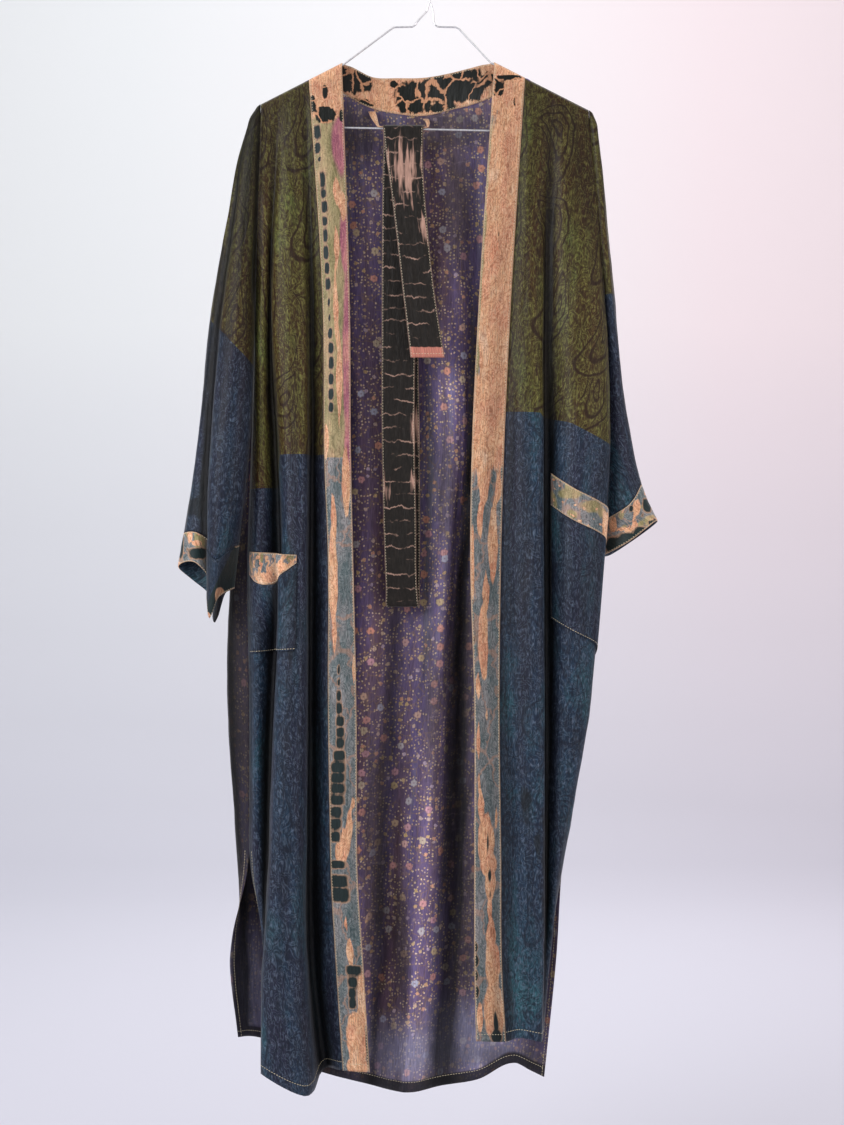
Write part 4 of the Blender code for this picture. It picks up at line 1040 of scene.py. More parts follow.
def make_band_silk():
    """Tie-dyed silk of bands, collar, cuffs and pocket bands: peach and rose on grey-teal, black blots."""
    finish, tree, shader = new_finish("tie_dyed_band_silk")
    flat = add_node(tree, "UVMap", uv_map="cloth").outputs[0]
    cloud = stretched(tree, flat, 45.0, 16.0)
    fine = stretched(tree, flat, 330.0, 190.0)
    strokes = stretched(tree, flat, 480.0, 260.0)
    curls, glints = contour_lines(tree, flat, (95.0, 62.0, 1.0), 8.0, 0.2)
    faint = add_node(tree, "Math", {0: curls, 1: 0.35}, operation="MULTIPLY").outputs[0]
    glints = add_node(tree, "Math", {0: glints, 1: 0.35}, operation="MULTIPLY").outputs[0]
    cold = ((0.35, "#516162"), (0.52, "#727575"), (0.68, "#918b8a"))
    cold = add_node(tree, "ValToRGB", {0: cloud}, cold).outputs[0]
    warm = ((0.35, "#857e55"), (0.52, "#a2936c"), (0.68, "#bf9f7b"))
    warm = add_node(tree, "ValToRGB", {0: cloud}, warm).outputs[0]
    warm = layered(tree, warm, (glints, hex_colour("#b9ab80")), (faint, hex_colour("#4f4a2a")))
    bloom = ((0.36, "#9a566c"), (0.5, "#b06c78"), (0.66, "#cf8f80"))
    bloom = add_node(tree, "ValToRGB", {0: cloud}, bloom).outputs[0]
    bloom = layered(tree, bloom, (glints, hex_colour("#dda294")), (faint, hex_colour("#74404e")))
    skin = ((0.3, "#cb8262"), (0.44, "#db9f7c"), (0.56, "#e0aa80"), (0.7, "#e9c3a2"))
    skin = add_node(tree, "ValToRGB", {0: cloud}, skin).outputs[0]

    # Where the tying thread crossed, thin lines of undyed silk stay, wide apart on grey, close on black.
    sway = add_node(tree, "TexNoise", {"Vector": flat, "Scale": 55.0, "Detail": 5.0}).outputs["Color"]
    shift = {0: sway, 1: (0.03, 0.03, 0.0), 2: flat}
    pull = add_node(tree, "VectorMath", shift, operation="MULTIPLY_ADD").outputs[0]
    longer = {0: pull, 1: (34.0, 15.0, 1.0)}
    longer = add_node(tree, "VectorMath", longer, operation="MULTIPLY").outputs[0]
    web = {"Vector": longer, "Scale": 1.0, "Randomness": 1.0}
    web = add_node(tree, "TexVoronoi", web, feature="DISTANCE_TO_EDGE").outputs["Distance"]
    web = part_of(tree, web, 0.045, 0.015, 0.4)
    close = {"Vector": pull, "Scale": 36.0, "Randomness": 1.0}
    close = add_node(tree, "TexVoronoi", close, feature="DISTANCE_TO_EDGE").outputs["Distance"]
    close = part_of(tree, close, 0.06, 0.03)
    whole = part_of(tree, stretched(tree, flat, 30.0, 30.0), 0.4, 0.46)
    close = add_node(tree, "Math", {0: close, 1: whole}, operation="MULTIPLY").outputs[0]

    grooves = part_of(tree, fine, 0.46, 0.34, 0.4)
    strokes = part_of(tree, strokes, 0.52, 0.66, 0.4)
    skin = layered(
        tree,
        skin,
        (glints, hex_colour("#efd2b0")),
        (add_node(tree, "Math", {0: faint, 1: 1.5}, operation="MULTIPLY").outputs[0], hex_colour("#8f573b")),
        (grooves, hex_colour("#a0644a")),
        (strokes, hex_colour("#f0d3ac")),
    )
    scrolls = add_node(tree, "Math", {0: faint, 1: 1.6}, operation="MULTIPLY").outputs[0]
    cold = layered(tree, cold, (glints, hex_colour("#a9b0b0")), (scrolls, hex_colour("#33464a")))
    ground = layered(
        tree,
        cold,
        (part_of(tree, fine, 0.47, 0.68, 0.25), hex_colour("#a3a6a4")),
        (web, hex_colour("#c08f72")),
        (ragged(tree, "olive", flat, (70.0, 16.0), 0.35, 0.06), warm),
        (ragged(tree, "rose", flat, (80.0, 14.0), 0.35, 0.08), bloom),
        (ragged(tree, "peach", flat, (95.0, 20.0), 0.42, 0.025), skin),
    )
    slate = layered(
        tree,
        hex_colour("#1c2a3a"),
        (part_of(tree, fine, 0.46, 0.62, 0.6), hex_colour("#10161f")),
        (strokes, hex_colour("#5a6474")),
        (glints, hex_colour("#4f6072")),
    )
    blot = layered(tree, hex_colour("#10140f"), (close, hex_colour("#c9936e")))
    edge = add_node(tree, "Attribute", attribute_name="edge").outputs["Fac"]
    ground = layered(
        tree,
        ground,
        (ragged(tree, "dark", flat, (150.0, 60.0), 0.42, 0.03), blot),
        (ragged(tree, "bars", flat, (150.0, 60.0), 0.2, 0.06, 0.43), hex_colour("#ae8c72")),
        (ragged(tree, "bars", flat, (150.0, 60.0), 0.3, 0.06, 0.51), hex_colour("#1d2a2a")),
        (ragged(tree, "turned", flat, (150.0, 60.0), 0.1, 0.05), slate),
        (part_of(tree, edge, 1.5, 0.9, 0.7), hex_colour("#d2b08f")),
    )
    silk_surface(tree, shader, flat, ground, 0.5, 0.2)
    return finish


def flowers(tree, flat, scale, size, petals, rate, cluster):
    """Scattered round blossoms. Gives their mask, the mask of their middles and a number for each one."""
    cells = {"Vector": flat, "Scale": scale, "Randomness": 0.95}
    cell = add_node(tree, "TexVoronoi", cells, voronoi_dimensions="2D")
    own = {0: flat, 1: cell.outputs["Position"]}
    own = add_node(tree, "VectorMath", own, operation="SUBTRACT").outputs[0]
    parts = add_node(tree, "SeparateXYZ", {0: own})
    angle = {0: parts.outputs[1], 1: parts.outputs[0]}
    angle = add_node(tree, "Math", angle, operation="ARCTAN2").outputs[0]
    lot = add_node(tree, "SeparateColor", {"Color": cell.outputs["Color"]})
    turned = {0: lot.outputs[2], 1: 6.0, 2: angle}
    turned = add_node(tree, "Math", turned, operation="MULTIPLY_ADD").outputs[0]
    lobes = add_node(tree, "Math", {0: turned, 1: petals}, operation="MULTIPLY").outputs[0]
    lobes = add_node(tree, "Math", {0: lobes}, operation="COSINE").outputs[0]
    rim = {0: lobes, 1: 0.09 * size, 2: size}
    rim = add_node(tree, "Math", rim, operation="MULTIPLY_ADD").outputs[0]
    part = {0: cell.outputs["Distance"], 1: rim}
    part = add_node(tree, "Math", part, operation="DIVIDE").outputs[0]
    picked = {0: lot.outputs[0], 1: rate}
    picked = add_node(tree, "Math", picked, operation="LESS_THAN").outputs[0]
    mask = {0: part_of(tree, part, 1.1, 0.85), 1: picked}
    mask = add_node(tree, "Math", mask, operation="MULTIPLY").outputs[0]
    mask = add_node(tree, "Math", {0: mask, 1: cluster}, operation="MULTIPLY").outputs[0]
    ring = add_node(tree, "Math", {0: part, 1: 0.55}, operation="PINGPONG").outputs[0]
    return mask, part_of(tree, ring, 0.32, 0.12, 0.6), lot.outputs[1]


def make_floral_silk():
    """Floral silk of the back: small blossoms and dots on purple, over-dyed charcoal in stripes."""
    finish, tree, shader = new_finish("floral_silk")
    flat = add_node(tree, "UVMap", uv_map="cloth").outputs[0]
    stripe = stretched(tree, flat, 22.0, 1.6)
    ground = ((0.3, "#6e5560"), (0.43, "#6b5870"), (0.56, "#6e6089"), (0.7, "#76767f"))
    ground = add_node(tree, "ValToRGB", {0: stripe}, ground).outputs[0]
    pale = ragged(tree, "pale", flat, (45.0, 12.0), 0.4, 0.3)
    pale = add_node(tree, "Math", {0: pale, 1: 0.7}, operation="MULTIPLY").outputs[0]
    groups = part_of(tree, stretched(tree, flat, 34.0, 34.0), 0.38, 0.46)
    sway = add_node(tree, "TexNoise", {"Vector": flat, "Scale": 150.0, "Detail": 2.0}).outputs["Color"]
    shift = {0: sway, 1: (0.0035, 0.0035, 0.0), 2: flat}
    drawn = add_node(tree, "VectorMath", shift, operation="MULTIPLY_ADD").outputs[0]
    veins = {"Vector": drawn, "Scale": 70.0}
    veins = add_node(tree, "TexVoronoi", veins, feature="DISTANCE_TO_EDGE").outputs["Distance"]
    vines = {0: part_of(tree, veins, 0.055, 0.02, 0.4), 1: groups}
    vines = add_node(tree, "Math", vines, operation="MULTIPLY").outputs[0]
    printed = layered(tree, ground, (vines, hex_colour("#9a7d5c")))
    # Dots 2 mm, buds 5 mm and blossoms 11 mm across: cells a metre, radius in cells, petals, share.
    for scale, size, petals, rate, stops in (
        (230.0, 0.24, 0.0, 0.5, ((0.2, "#bb9c7c"), (0.8, "#dcc6a8"))),
        (100.0, 0.25, 4.0, 0.28, ((0.1, "#cf9680"), (0.5, "#c9ab78"), (0.9, "#b7a3bd"))),
        (42.0, 0.21, 6.0, 0.42, ((0.1, "#d79a84"), (0.35, "#c99aa6"), (0.6, "#cdb58a"), (0.85, "#b3b3c4"))),
    ):
        together = groups if scale > 50 else 1.0
        mask, heart, lot = flowers(tree, drawn, scale, size, petals, rate, together)
        petal = add_node(tree, "ValToRGB", {0: lot}, stops).outputs[0]
        middle = hex_colour("#7a5560") if scale < 50 else hex_colour("#e8cf9c")
        printed = layered(tree, printed, (mask, layered(tree, petal, (heart, middle))))
    charcoal = ragged(tree, "charcoal", flat, (60.0, 9.0), 0.6, 0.24)
    hidden = add_node(tree, "Math", {0: charcoal, 1: 0.74}, operation="MULTIPLY").outputs[0]
    tied = tied_ground(tree, flat, "#393235", "#6a5f5e", 0.021)
    # Painted shade: the side mark darkens the back nearly to black on its side strips; it also darkens a band
    # along the hem.
    side = ragged(tree, "side", flat, (60.0, 9.0), 0.4, 0.2)
    side = add_node(tree, "Math", {0: side, 1: 0.9}, operation="MULTIPLY").outputs[0]
    stripes = (hidden, tied), (pale, hex_colour("#86879f")), (side, hex_colour("#18171c"))
    printed = layered(tree, printed, *stripes)
    silk_surface(tree, shader, flat, printed, 0.55, 0.15)
    return finish


def make_belt_silk():
    """Tie-dyed silk of the belt: brown-black with pale wound lines across, and faded patches."""
    finish, tree, shader = new_finish("tie_dyed_belt_silk")
    flat = add_node(tree, "UVMap", uv_map="cloth").outputs[0]
    edge = add_node(tree, "Attribute", attribute_name="edge").outputs["Fac"]
    ground = layered(
        tree,
        tied_ground(tree, flat, "#1d1915", "#b08f7e", 0.017),
        (ragged(tree, "peach", flat, (190.0, 15.0), 1.5, 0.1), hex_colour("#bd9684")),
        (ragged(tree, "rose", flat, (160.0, 60.0), 0.3, 0.04), hex_colour("#c98270")),
        (part_of(tree, edge, 1.2, 0.7, 0.6), hex_colour("#a88d7c")),
    )
    silk_surface(tree, shader, flat, ground, 0.5, 0.2)
    return finish


def make_thread():
    """Cream sewing thread: matt, with its twist as a fine bump."""
    finish, tree, shader = new_finish("cream_sewing_thread")
    where = add_node(tree, "TexCoord").outputs["Object"]
    twist = add_node(tree, "TexNoise", {"Vector": where, "Scale": 1400.0}).outputs["Fac"]
    cream = ((0.3, "#b5a888"), (0.7, "#e2d7b8"))
    cream = add_node(tree, "ValToRGB", {0: twist}, cream).outputs[0]
    tree.links.new(cream, shader.inputs["Base Color"])
    bump = add_node(tree, "Bump", {"Height": twist, "Strength": 0.3, "Distance": 0.0002}).outputs[0]
    tree.links.new(bump, shader.inputs["Normal"])
    shader.inputs["Roughness"].default_value = 0.7
    return finish


def make_steel():
    """Drawn steel wire: bright, with faint drawing marks along it."""
    finish, tree, shader = new_finish("drawn_steel_wire")
    where = add_node(tree, "TexCoord").outputs["Object"]
    marks = {"Vector": where, "Scale": 380.0, "Detail": 3.0}
    marks = add_node(tree, "TexNoise", marks).outputs["Fac"]
    grey = ((0.3, "#cfd0d2"), (0.7, "#eeeeef"))
    grey = add_node(tree, "ValToRGB", {0: marks}, grey).outputs[0]
    tree.links.new(grey, shader.inputs["Base Color"])
    bump = add_node(tree, "Bump", {"Height": marks, "Strength": 0.15, "Distance": 0.0002}).outputs[0]
    tree.links.new(bump, shader.inputs["Normal"])
    shader.inputs["Metallic"].default_value = 0.85
    shader.inputs["Roughness"].default_value = 0.42
    return finish


# Creases of each piece, from fold line and level to fold line and level, half width and rise in mm.
LEFT_CREASES = (
    (1.4, 0.25, 1.7, 2.3, 5.0, 1.3), (2.2, 0.5, 2.0, 1.9, 4.0, -1.1), (2.7, 0.3, 2.9, 3.1, 6.0, 1.6),
    (3.4, 0.1, 3.3, 1.5, 5.0, -1.4), (3.8, 0.6, 3.6, 2.6, 5.0, 1.2), (4.4, 0.2, 4.2, 1.8, 4.5, 1.3),
    (5.3, 0.4, 5.5, 2.2, 5.0, -1.2), (6.3, 0.3, 6.1, 1.7, 5.0, 1.3), (1.6, 2.9, 1.3, 4.7, 5.0, -1.2),
    (2.3, 3.4, 2.6, 5.6, 6.0, 1.5), (2.9, 4.1, 2.7, 6.6, 5.0, -1.2), (3.4, 3.9, 3.6, 5.4, 5.5, 1.4),
    (3.7, 5.0, 3.5, 6.9, 5.0, -1.1), (4.5, 3.8, 4.3, 6.0, 5.0, 1.4), (5.2, 4.2, 5.4, 6.4, 5.0, -1.3),
    (6.2, 3.9, 6.4, 5.3, 4.0, 1.2), (1.2, 5.6, 1.7, 6.95, 6.0, 1.1), (2.0, 6.2, 3.0, 6.5, 3.0, 0.7),
)
RIGHT_CREASES = (
    (5.6, 0.2, 5.3, 1.8, 5.0, 1.2), (5.2, 0.6, 5.5, 2.9, 4.5, -1.1), (4.6, 0.3, 4.4, 2.1, 5.0, 1.3),
    (3.5, 0.4, 3.4, 2.2, 5.0, -1.4), (2.6, 0.1, 2.4, 1.3, 6.0, 1.5), (2.1, 0.3, 1.7, 1.9, 6.0, -1.3),
    (1.4, 0.5, 1.2, 2.0, 5.0, 1.3), (0.6, 0.6, 0.8, 1.9, 4.0, -1.1), (2.2, 1.2, 1.1, 2.1, 4.5, 1.2),
    (5.6, 2.6, 5.3, 4.6, 5.0, 1.3), (5.2, 3.9, 5.6, 6.2, 5.0, -1.2), (4.5, 2.8, 4.6, 4.9, 5.0, 1.2),
    (3.6, 3.7, 3.4, 6.0, 4.5, -1.3), (2.7, 3.8, 2.4, 5.7, 5.0, 1.5), (2.0, 3.7, 2.2, 5.2, 5.0, -1.3),
    (1.4, 3.8, 1.6, 5.0, 4.0, 1.2), (0.7, 3.6, 0.5, 5.2, 4.0, 1.1), (5.8, 5.4, 5.2, 6.9, 6.0, 1.2),
    (4.6, 5.2, 4.4, 6.8, 5.0, -1.1),
)
BACK_CREASES = (
    (0.8, 0.5, 1.1, 2.6, 7.0, 1.6), (1.6, 0.2, 1.9, 2.4, 6.0, -1.4), (2.5, 0.4, 2.3, 3.0, 7.0, 1.5),
    (3.6, 0.3, 3.9, 2.2, 7.0, 1.5), (4.6, 0.5, 4.5, 2.7, 6.0, -1.4), (5.5, 0.3, 5.8, 2.0, 6.0, 1.3),
    (6.5, 1.0, 6.3, 3.5, 6.0, 1.3), (7.6, 0.6, 7.3, 3.1, 5.0, -1.2), (8.2, 0.8, 8.05, 6.7, 2.5, 1.6),
    (9.3, 0.4, 9.1, 2.8, 6.0, 1.3), (10.4, 0.6, 10.2, 3.4, 6.0, -1.3), (11.6, 0.3, 11.3, 2.6, 6.0, 1.5),
    (12.4, 0.4, 12.6, 2.9, 7.0, 1.5), (0.6, 3.1, 0.9, 5.0, 6.0, 1.4), (1.5, 3.3, 1.3, 6.4, 6.0, -1.4),
    (2.5, 3.7, 2.8, 6.6, 7.0, 1.5), (4.3, 3.5, 4.0, 6.5, 6.0, 1.3), (5.4, 3.2, 5.6, 5.9, 5.0, -1.1),
    (6.6, 4.2, 6.9, 6.8, 6.0, 1.2), (9.4, 3.6, 9.1, 6.2, 6.0, 1.3), (10.4, 4.0, 10.7, 6.7, 6.0, -1.2),
    (12.3, 3.4, 12.0, 6.2, 6.0, 1.4), (7.7, 3.1, 9.6, 3.12, 2.5, 0.9), (5.2, 5.35, 9.3, 5.3, 4.0, 0.8),
)
LEFT_SLEEVE_CREASES = (
    (1.0, 1.6, 1.6, 4.4, 5.0, 1.5), (1.8, 2.2, 2.4, 5.6, 5.0, -1.3), (2.6, 1.8, 2.9, 4.2, 5.0, 1.3),
    (0.7, 3.6, 2.2, 5.6, 4.0, 1.1), (3.2, 3.0, 3.0, 5.7, 4.0, -1.1), (4.6, 1.8, 4.9, 5.4, 5.0, 1.3),
    (6.2, 1.6, 6.6, 5.0, 6.0, 1.4), (7.3, 2.0, 7.0, 5.4, 5.0, -1.3), (8.2, 1.8, 8.6, 4.8, 5.0, 1.3),
)
RIGHT_SLEEVE_CREASES = (
    (0.8, 1.8, 1.1, 5.0, 5.0, 1.4), (1.7, 2.0, 1.5, 5.4, 5.0, -1.3), (2.6, 1.9, 2.9, 5.3, 5.0, 1.3),
    (3.6, 2.0, 3.4, 5.2, 5.0, -1.2), (4.5, 1.8, 4.3, 5.4, 5.0, 1.4), (5.3, 2.6, 5.5, 5.6, 4.0, 1.1),
)

# Where the olive dye ends: (fold number or side in mm, height) of the line between it and the blue.
LEFT_DYE = ((1.0, -656), (4.4, -656), (4.8, -697), (7.0, -699))
RIGHT_DYE = ((98, -602), (141, -604), (144, -608), (178, -616), (234, -645))
LEFT_SLEEVE_DYE = ((-300, -462), (-267, -493), (-218, -546), (-205, -560))
RIGHT_SLEEVE_DYE = ((200, -455), (300, -440))

# Dyed patches of the left band. x is the part of its width from left to right, z the height in mm.
LEFT_BAND_PEACH = (
    (0.5, -188, 0.9, 40, 3), (0.68, -322, 0.13, 18, 1.3), (0.86, -342, 0.13, 22, 1.3),
    (0.6, -395, 0.1, 30, 1.2), (0.5, -470, 0.1, 50, 1.2), (0.6, -560, 0.12, 60, 1.2),
    (0.1, -640, 0.12, 24, 1.5), (0.8, -690, 0.17, 56, 1.2), (0.3, -735, 0.13, 34, 1.2),
    (0.2, -812, 0.2, 66, 1.6), (0.26, -880, 0.1, 26, 1.3), (0.95, -926, 0.08, 26, 1.2),
    (0.87, -1095, 0.06, 20, 1.2), (0.74, -1122, 0.12, 24, 1.2), (0.55, -1148, 0.2, 24, 1.3),
    (0.38, -1158, 0.17, 16, 2), (0.47, -1246, 0.05, 22, 1.2), (0.56, -1282, 0.13, 22, 1.2),
    (0.88, -1340, 0.16, 40, 2), (0.6, -1392, 0.36, 34, 2.4), (0.55, -1424, 0.4, 12, 2),
)
LEFT_BAND_ROSE = (
    (0.84, -262, 0.24, 42, 1.6), (0.9, -386, 0.2, 46, 1.6), (0.93, -540, 0.2, 120, 2),
    (0.96, -640, 0.2, 50, 1.5),
)
LEFT_BAND_DARK = (
    (0.46, -195, 0.08, 10, 2), (0.07, -211, 0.13, 12, 2), (0.43, -225, 0.33, 11, 2.4),
    (0.94, -226, 0.08, 8, 2),
)
# Black bars of a band, as (part of its width, height, half width, half height).
LEFT_BAND_BARS = (
    (0.16, -247, 0.1, 9), (0.14, -268, 0.09, 7), (0.17, -282, 0.06, 3), (0.24, -308, 0.09, 10.5),
    (0.24, -326, 0.09, 5.5), (0.25, -343, 0.1, 7.7), (0.24, -361, 0.09, 6.2), (0.23, -380, 0.08, 9),
    (0.22, -401, 0.09, 9), (0.23, -421, 0.09, 7.5), (0.24, -441, 0.09, 8), (0.25, -464, 0.05, 6),
    (0.25, -484, 0.04, 5), (0.27, -504, 0.08, 7), (0.3, -522, 0.1, 7), (0.3, -541, 0.1, 8),
    (0.3, -562, 0.1, 7), (0.3, -580, 0.1, 7.5), (0.3, -597, 0.09, 6), (0.4, -927, 0.05, 6),
    (0.4, -943, 0.05, 5), (0.41, -960, 0.08, 7), (0.42, -976, 0.1, 7), (0.44, -992, 0.14, 6.5),
    (0.44, -1006, 0.14, 6.5), (0.44, -1020, 0.14, 6), (0.4, -1035, 0.2, 6.5), (0.35, -1050, 0.25, 7),
    (0.33, -1064, 0.25, 6), (0.32, -1077, 0.26, 6), (0.3, -1091, 0.25, 6.5), (0.25, -1106, 0.22, 6.6),
    (0.24, -1121, 0.2, 7), (0.22, -1137, 0.18, 7), (0.26, -1172, 0.32, 5), (0.3, -1193, 0.34, 8),
    (0.34, -1210, 0.32, 9), (0.66, -1304, 0.26, 6), (0.58, -1319, 0.16, 7), (0.55, -1333, 0.13, 6),
    (0.54, -1346, 0.13, 6), (0.98, -1400, 0.06, 24), (0.5, -1436, 0.6, 4),
)
RIGHT_BAND_PEACH = (
    (0.5, -175, 0.9, 50, 3), (0.58, -400, 0.5, 270, 4), (0.5, -610, 0.6, 70, 3),
    (0.4, -680, 0.2, 52, 1.3), (0.3, -738, 0.1, 34, 1.1), (0.72, -770, 0.17, 60, 1.3),
    (0.86, -700, 0.08, 26, 1.1), (0.5, -830, 0.12, 30, 1.2), (0.04, -790, 0.07, 70, 1.5),
    (0.38, -890, 0.18, 48, 1.8), (0.16, -948, 0.1, 18, 1.5), (0.46, -984, 0.05, 15, 1.2),
    (0.62, -1004, 0.03, 9, 1.2), (0.14, -1016, 0.07, 26, 1.3), (0.18, -1070, 0.05, 16, 1.2),
    (0.24, -1098, 0.13, 22, 1.3), (0.42, -1144, 0.3, 34, 1.8), (0.82, -1112, 0.05, 15, 1.2),
    (0.5, -1172, 0.3, 16, 2), (0.58, -1196, 0.2, 22, 1.6), (0.56, -1227, 0.09, 20, 1.3),
    (0.6, -1262, 0.19, 26, 1.3), (0.66, -1300, 0.27, 34, 2), (0.63, -1356, 0.36, 38, 2.4),
    (0.14, -1362, 0.1, 20, 1.5),
)
RIGHT_BAND_OLIVE = (
    (0.08, -285, 0.24, 52, 1.6), (0.04, -380, 0.12, 80, 2), (0.02, -500, 0.1, 90, 2),
    (0.95, -560, 0.1, 60, 1.5),
)
RIGHT_BAND_DARK = (
    (0.17, -188, 0.2, 13, 3), (0.5, -177, 0.5, 3, 2), (0.72, -207, 0.05, 8, 2),
    (0.47, -382, 0.025, 10, 2),
)
RIGHT_BAND_BARS = (
    (0.55, -1186, 0.06, 10), (0.55, -1210, 0.03, 7), (0.03, -1275, 0.1, 7), (0.04, -1292, 0.12, 8),
    (0.03, -1310, 0.1, 8), (0.04, -1330, 0.12, 8), (0.66, -1372, 0.08, 16), (0.66, -1388, 0.2, 9),
    (0.04, -890, 0.05, 9), (0.5, -1145, 0.03, 14),
)
COLLAR_DARK = (
    (-94, -168, 22, 22, 3.5), (-90, -202, 20, 6, 2), (-44, -175, 5, 5, 2), (-19, -192, 23, 21, 3.5),
    (35, -180, 38, 20, 3.5), (21, -206, 17, 7, 2.5), (78, -175, 8, 8, 2),
)
# Blotches of the cuffs and pocket bands, as (side, height, half width, half height) in mm.
CUFF_PEACH = {
    "left": ((-312, -796, 12, 4, 2), (-301, -757, 4, 14, 2), (-290, -748, 6, 7, 2), (-292, -768, 7, 4, 2)),
    "right": (
        (265, -722, 6, 11, 2), (236, -744, 5, 12, 2), (280, -703, 6, 6, 2), (252, -750, 16, 3, 2),
        (290, -738, 6, 3, 2), (262, -745, 5, 5, 2),
    ),
}
CUFF_OLIVE = {
    "left": ((-288, -760, 8, 19, 3),),
    "right": ((284, -740, 12, 8, 2), (246, -732, 4, 7, 2)),
}
CUFF_DARK = {
    "left": ((-290, -781, 12, 7, 3), (-314, -768, 4, 20, 3)),
    "right": (
        (279, -720, 6, 9, 2.5), (238, -771, 11, 11, 3), (254, -763, 12, 8, 3), (270, -753, 9, 6, 2.5),
        (258, -724, 3, 4, 2), (286, -742, 8, 3, 2),
    ),
}
# Below this line of (side, height) the folded front of the left cuff is black; above it, turned back.
LEFT_CUFF_TURN = ((-285, -862), (-281, -857), (-269, -831), (-251, -790), (-236, -758))
LEFT_CUFF_SPOTS = ((-260, -835, 4.5, 10, 2), (-274, -861, 3, 6, 2))
POCKET_PEACH = {
    "left": ((-203, -812, 15, 9, 2), (-186, -800, 14, 8, 2)),
    "right": ((185, -751, 12, 8, 2.5), (225, -752, 7, 26, 3)),
}
POCKET_OLIVE = {"left": (), "right": ((178, -706, 18, 8, 2), (204, -722, 18, 9, 2))}
POCKET_DARK = {"left": ((-203, -823, 3.5, 3, 2), (-181, -808, 4, 6, 1.5)), "right": ()}
BACK_CHARCOAL = (
    (-95, -240, 46, 40, 2.5), (30, -235, 60, 30, 2), (40, -330, 20, 90, 2),
    (38, -1020, 26, 260, 3), (-68, -1160, 14, 170, 3), (-34, -1290, 10, 80, 2), (52, -1250, 16, 120, 3),
    (-170, -700, 30, 300, 3), (160, -900, 40, 500, 3), (8, -980, 12, 110, 2),
    (24, -700, 14, 90, 2), (-205, -560, 24, 200, 2), (100, -1430, 90, 12, 3), (-20, -1468, 110, 8, 4),
)
# Painted shade on the back's side strips, where it wraps towards the front: (side, height, half width, half
# height, power) in mm.
BACK_SIDE_SHADE = ((-236, -1000, 32, 300, 3), (-240, -1350, 12, 120, 3), (-200, -900, 20, 200, 3))
# Painted shadow in folds of the sleeves, mostly the valley down the left sleeve between its front and rear
# lobes: (side, height, half width, half height, power) in mm.
SLEEVE_FOLD_SHADE = {
    "left": (
        (-262, -410, 4, 40, 2), (-268, -455, 4, 50, 2), (-276, -525, 4, 50, 2), (-282, -600, 4, 60, 2),
        (-283, -690, 4, 60, 2), (-298, -722, 12, 11, 3),
    ),
    "right": ((276, -690, 5, 14, 2),),
}
BACK_PALE = ((-20, -1425, 110, 36, 3), (60, -1400, 60, 34, 3), (-225, -1340, 40, 80, 2))
BELT_FADED_FRONT = ((0.5, -298, 0.5, 44, 2), (0.9, -372, 0.14, 22, 1.5))
BELT_FADED_REAR = ((0.97, -625, 0.14, 36, 1.5), (0.95, -690, 0.1, 24, 1.5), (0.1, -700, 0.14, 20, 1.5))
# Painted shadow on the fronts, in their deepest folds: (side, height, half width, half height, power) in mm.
FRONT_FOLD_SHADE = {
    "left": ((-172, -865, 5, 62, 3), (-205, -1120, 10, 160, 3)),
    "right": ((122, -1092, 7, 30, 2), (136, -1140, 5, 22, 2), (148, -1180, 8, 100, 3)),
}


# Levels of the rows of points of a body panel, from the top of the wire to the hem.
BODY_ROWS = [-1, -0.5, 0, *split_steps([0, 0.25, 1], 4)[1:-1], *split_steps([1, 2, 3, 4, 5, 6, 7], 4)]


def heights_of(cloth):
    """Side and height of each point, in mm."""
    return cloth.places[..., 0] / MM, cloth.places[..., 2] / MM


def edge_mark(cloth):
    """Distance from the two long sides, in mm."""
    return np.minimum(cloth.along - cloth.along[:1], cloth.along[-1:] - cloth.along)


